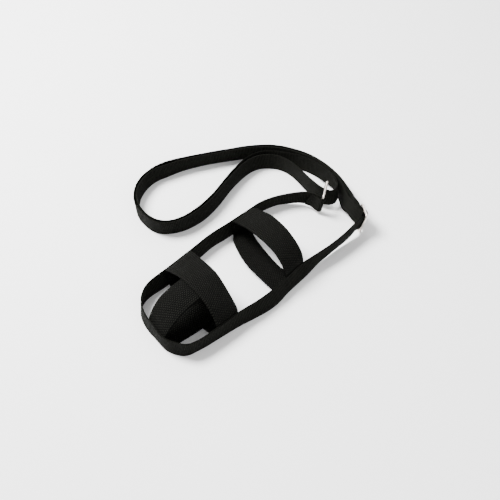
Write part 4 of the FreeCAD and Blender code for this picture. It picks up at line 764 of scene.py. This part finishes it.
# ------------------------------------------------------------------ elastic bands
def band_grid(table, per, closed, cols=13):
    A = np.array(table, float)
    A = A.reshape(A.shape[0], -1, 3)
    A = catmull(A.reshape(A.shape[0], -1), per, closed).reshape(-1, A.shape[1], 3)
    # columns, finer than the table
    f = np.linspace(0, A.shape[1] - 1, cols)
    i = np.minimum(f.astype(int), A.shape[1] - 2)
    g = (f - i)[None, :, None]
    return A[:, i] * (1 - g) + A[:, i + 1] * g


def smooth_grid(G, times, closed):
    for _ in range(times):
        if closed:
            G = 0.5 * G + 0.25 * (np.roll(G, 1, 0) + np.roll(G, -1, 0))
        else:
            H = G.copy(); H[1:-1] = 0.5 * G[1:-1] + 0.25 * (G[:-2] + G[2:]); G = H
    return G


for nm, table, across in (("upper_band", UPPER_BAND, 0.0313), ("lower_band", LOWER_BAND, 0.0333)):
    G = smooth_grid(band_grid(table, 4, True), 6, True)
    o = sheet_mesh(nm + "_elastic", G, 1.6, closed=True, wave=0.12, seed=len(nm))
    w = float(np.linalg.norm(np.diff(G, axis=1), axis=2).sum(1).mean()) / 1000
    finish_piece(o, ELA, "webbing", [nm])
G = smooth_grid(band_grid(BASE_BAND, 4, False), 6, False)
o = sheet_mesh("base_band_elastic", G, 1.6, wave=0.10, seed=3)
w = float(np.linalg.norm(np.diff(G, axis=1), axis=2).sum(1).mean()) / 1000
finish_piece(o, ELA, "webbing", ["base_band"])


# ------------------------------------------------------------------ stitches
def surface(rows, i, across, off):
    # point on a face of a webbing run: row i, across 0..1, off mm from its middle
    n = len(rows); j = int(np.clip(math.floor(i), 1, n - 3)); f = i - j
    r = rows[j] * (1 - f) + rows[j + 1] * f
    lo, hi = r[:3], r[3:]
    t = (rows[j + 2][:3] + rows[j + 2][3:]) - (rows[j - 1][:3] + rows[j - 1][3:])
    t = t / np.linalg.norm(t)
    w = (hi - lo) / np.linalg.norm(hi - lo)
    nn = np.cross(t, w); nn /= np.linalg.norm(nn)
    return lo * (1 - across) + hi * across + nn * off, t, w, nn


def stitches(name, groups, body, nodes):
    """groups: (rows, off, [(i, across) corners of a closed line])"""
    verts, faces = [], []
    for rows, off, path in groups:
        pts = []
        for (i0, c0), (i1, c1) in zip(path[:-1], path[1:]):
            m = 24
            for k in range(m):
                f = k / m
                pts.append(surface(rows, i0 + (i1 - i0) * f, c0 + (c1 - c0) * f, off)[:1] + surface(rows, i0 + (i1 - i0) * f, c0 + (c1 - c0) * f, off)[3:])
        P = np.array([p[0] for p in pts]); Nn = np.array([p[1] for p in pts])
        L = np.concatenate([[0], np.cumsum(np.linalg.norm(np.diff(P, axis=0), axis=1))])
        step, gap = 2.7, 0.55
        x = 0.2
        while x + step - gap < L[-1]:
            q = np.linspace(x, x + step - gap, 6)
            line = np.array([[np.interp(a, L, P[:, k]) for k in range(3)] for a in q])
            nn = np.array([[np.interp(a, L, Nn[:, k]) for k in range(3)] for a in q])
            d = np.gradient(line, axis=0); d /= np.linalg.norm(d, axis=1, keepdims=True)
            s = np.cross(d, nn); s /= np.linalg.norm(s, axis=1, keepdims=True)
            sag = np.array([-0.16, 0.02, 0.09, 0.09, 0.02, -0.16]) * np.sign(off)
            rad = np.array([0.16, 0.27, 0.30, 0.30, 0.27, 0.16])
            base = len(verts)
            for a in range(6):
                c = line[a] + nn[a] * sag[a]
                for b in range(7):
                    th = 2 * math.pi * b / 7
                    verts.append(tuple((c + (s[a] * math.cos(th) * 1.15 + nn[a] * math.sin(th) * 0.8) * rad[a]) / 1000))
            for a in range(5):
                for b in range(7):
                    c = (b + 1) % 7
                    faces.append((base + a * 7 + b, base + a * 7 + c, base + (a + 1) * 7 + c, base + (a + 1) * 7 + b))
            faces.append(tuple(base + b for b in range(6, -1, -1)))
            faces.append(tuple(base + 35 + b for b in range(7)))
            x += step
    me = bpy.data.meshes.new(name)
    me.from_pydata(verts, [], faces)
    me.update()
    for p in me.polygons:
        p.use_smooth = True
    o = bpy.data.objects.new(name, me)
    bpy.context.scene.collection.objects.link(o)
    o.data.materials.append(THR)
    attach(o, body)
    if nodes:
        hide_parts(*nodes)
    return o


def row_near(rows, x, y, lo=0, hi=None):
    c = (rows[:, :2] + rows[:, 3:5]) / 2
    hi = hi or len(rows)
    return lo + int(np.argmin(np.hypot(c[lo:hi, 0] - x, c[lo:hi, 1] - y)))


def box_path(i0, i1, lo=0.16, hi=0.84, cross=True):
    p = [(i0, lo), (i1, lo), (i1, hi), (i0, hi), (i0, lo)]
    if cross:
        p += [(i1, hi), (i1, lo), (i0, hi)]
    return p


for nm in ("upper_band_front", "upper_band_back", "lower_band_front", "lower_band_back", "base_band"):
    lo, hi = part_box(nm + "_stitches")
    c = (np.array(lo) + np.array(hi)) * 500
    half = max(hi[0] - lo[0], hi[1] - lo[1]) * 500
    i = row_near(CR, c[0], c[1])
    per = np.linalg.norm((CR[i + 1] - CR[i])[:3])
    k = half / max(per, 0.1)
    stitches(nm + "_thread", [(CR, 0.74, box_path(i - k, i + k))], "webbing", [nm + "_stitches"])

# seams that hold the fold round the ring and the end sewn back on itself at the slider
n = len(CR)
stitches("ring_fold_thread", [(CR, 1 * 0.74, box_path(n - 14, n - 4, 0.15, 0.85, False))], "webbing", [])
n = len(SEWN)
k = row_near(SEWN, *(SL_O + SL_U * -24 + SL_N * -9.0)[:2], 0, n // 2)
stitches("sewn_end_thread", [(SEWN, -1 * 0.74, [(k - 6, 0.15), (k - 6, 0.85)]), (SEWN, -1 * 0.74, [(k - 4, 0.85), (k - 4, 0.15)])], "slider", [])

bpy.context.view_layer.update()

# ------------------------------------------------------------------ floor and light
bpy.ops.mesh.primitive_plane_add(size=8, location=(0, 0, -0.0004))
floor = bpy.context.object
floor.name = "floor"
FM, nt, bs = new_mat("pale_floor")
k = NB(nt)
tc = nt.nodes.new("ShaderNodeTexCoord")
nt.links.new(k.mix(k.noise(tc.outputs["Object"], 3.0, 3.0), (0.93, 0.93, 0.93, 1), (0.95, 0.95, 0.95, 1)), bs.inputs["Base Color"])
bs.inputs["Roughness"].default_value = 0.7
bs.inputs["Specular IOR Level"].default_value = 0.2
floor.data.materials.append(FM)


def area(name, loc, target, size, power, color=(1, 1, 1)):
    l = bpy.data.lights.new(name, "AREA")
    l.shape = "DISK"; l.size = size; l.energy = power; l.color = color
    ob = bpy.data.objects.new(name, l)
    bpy.context.scene.collection.objects.link(ob)
    ob.location = loc
    ob.rotation_euler = (Vector(target) - Vector(loc)).to_track_quat("-Z", "Y").to_euler()
    return ob


cam_dir = Vector((camo.location.x, camo.location.y, 0)).normalized()
right = Vector((-cam_dir.y, cam_dir.x, 0))
area("key", tuple(-right * 0.85 - cam_dir * 0.45 + Vector((0, 0, 1.35))), (0, 0, 0), 0.8, 120)
area("fill", tuple(right * 0.7 + cam_dir * 1.1 + Vector((0, 0, 0.8))), (0, 0, 0), 1.0, 14)
area("rim", tuple(-cam_dir * 1.1 + Vector((0, 0, 0.9))), (0, 0, 0), 1.0, 10)
w = bpy.data.worlds.new("world"); bpy.context.scene.world = w
w.use_nodes = True
w.node_tree.nodes["Background"].inputs[0].default_value = (1, 1, 1, 1)
w.node_tree.nodes["Background"].inputs[1].default_value = 0.62
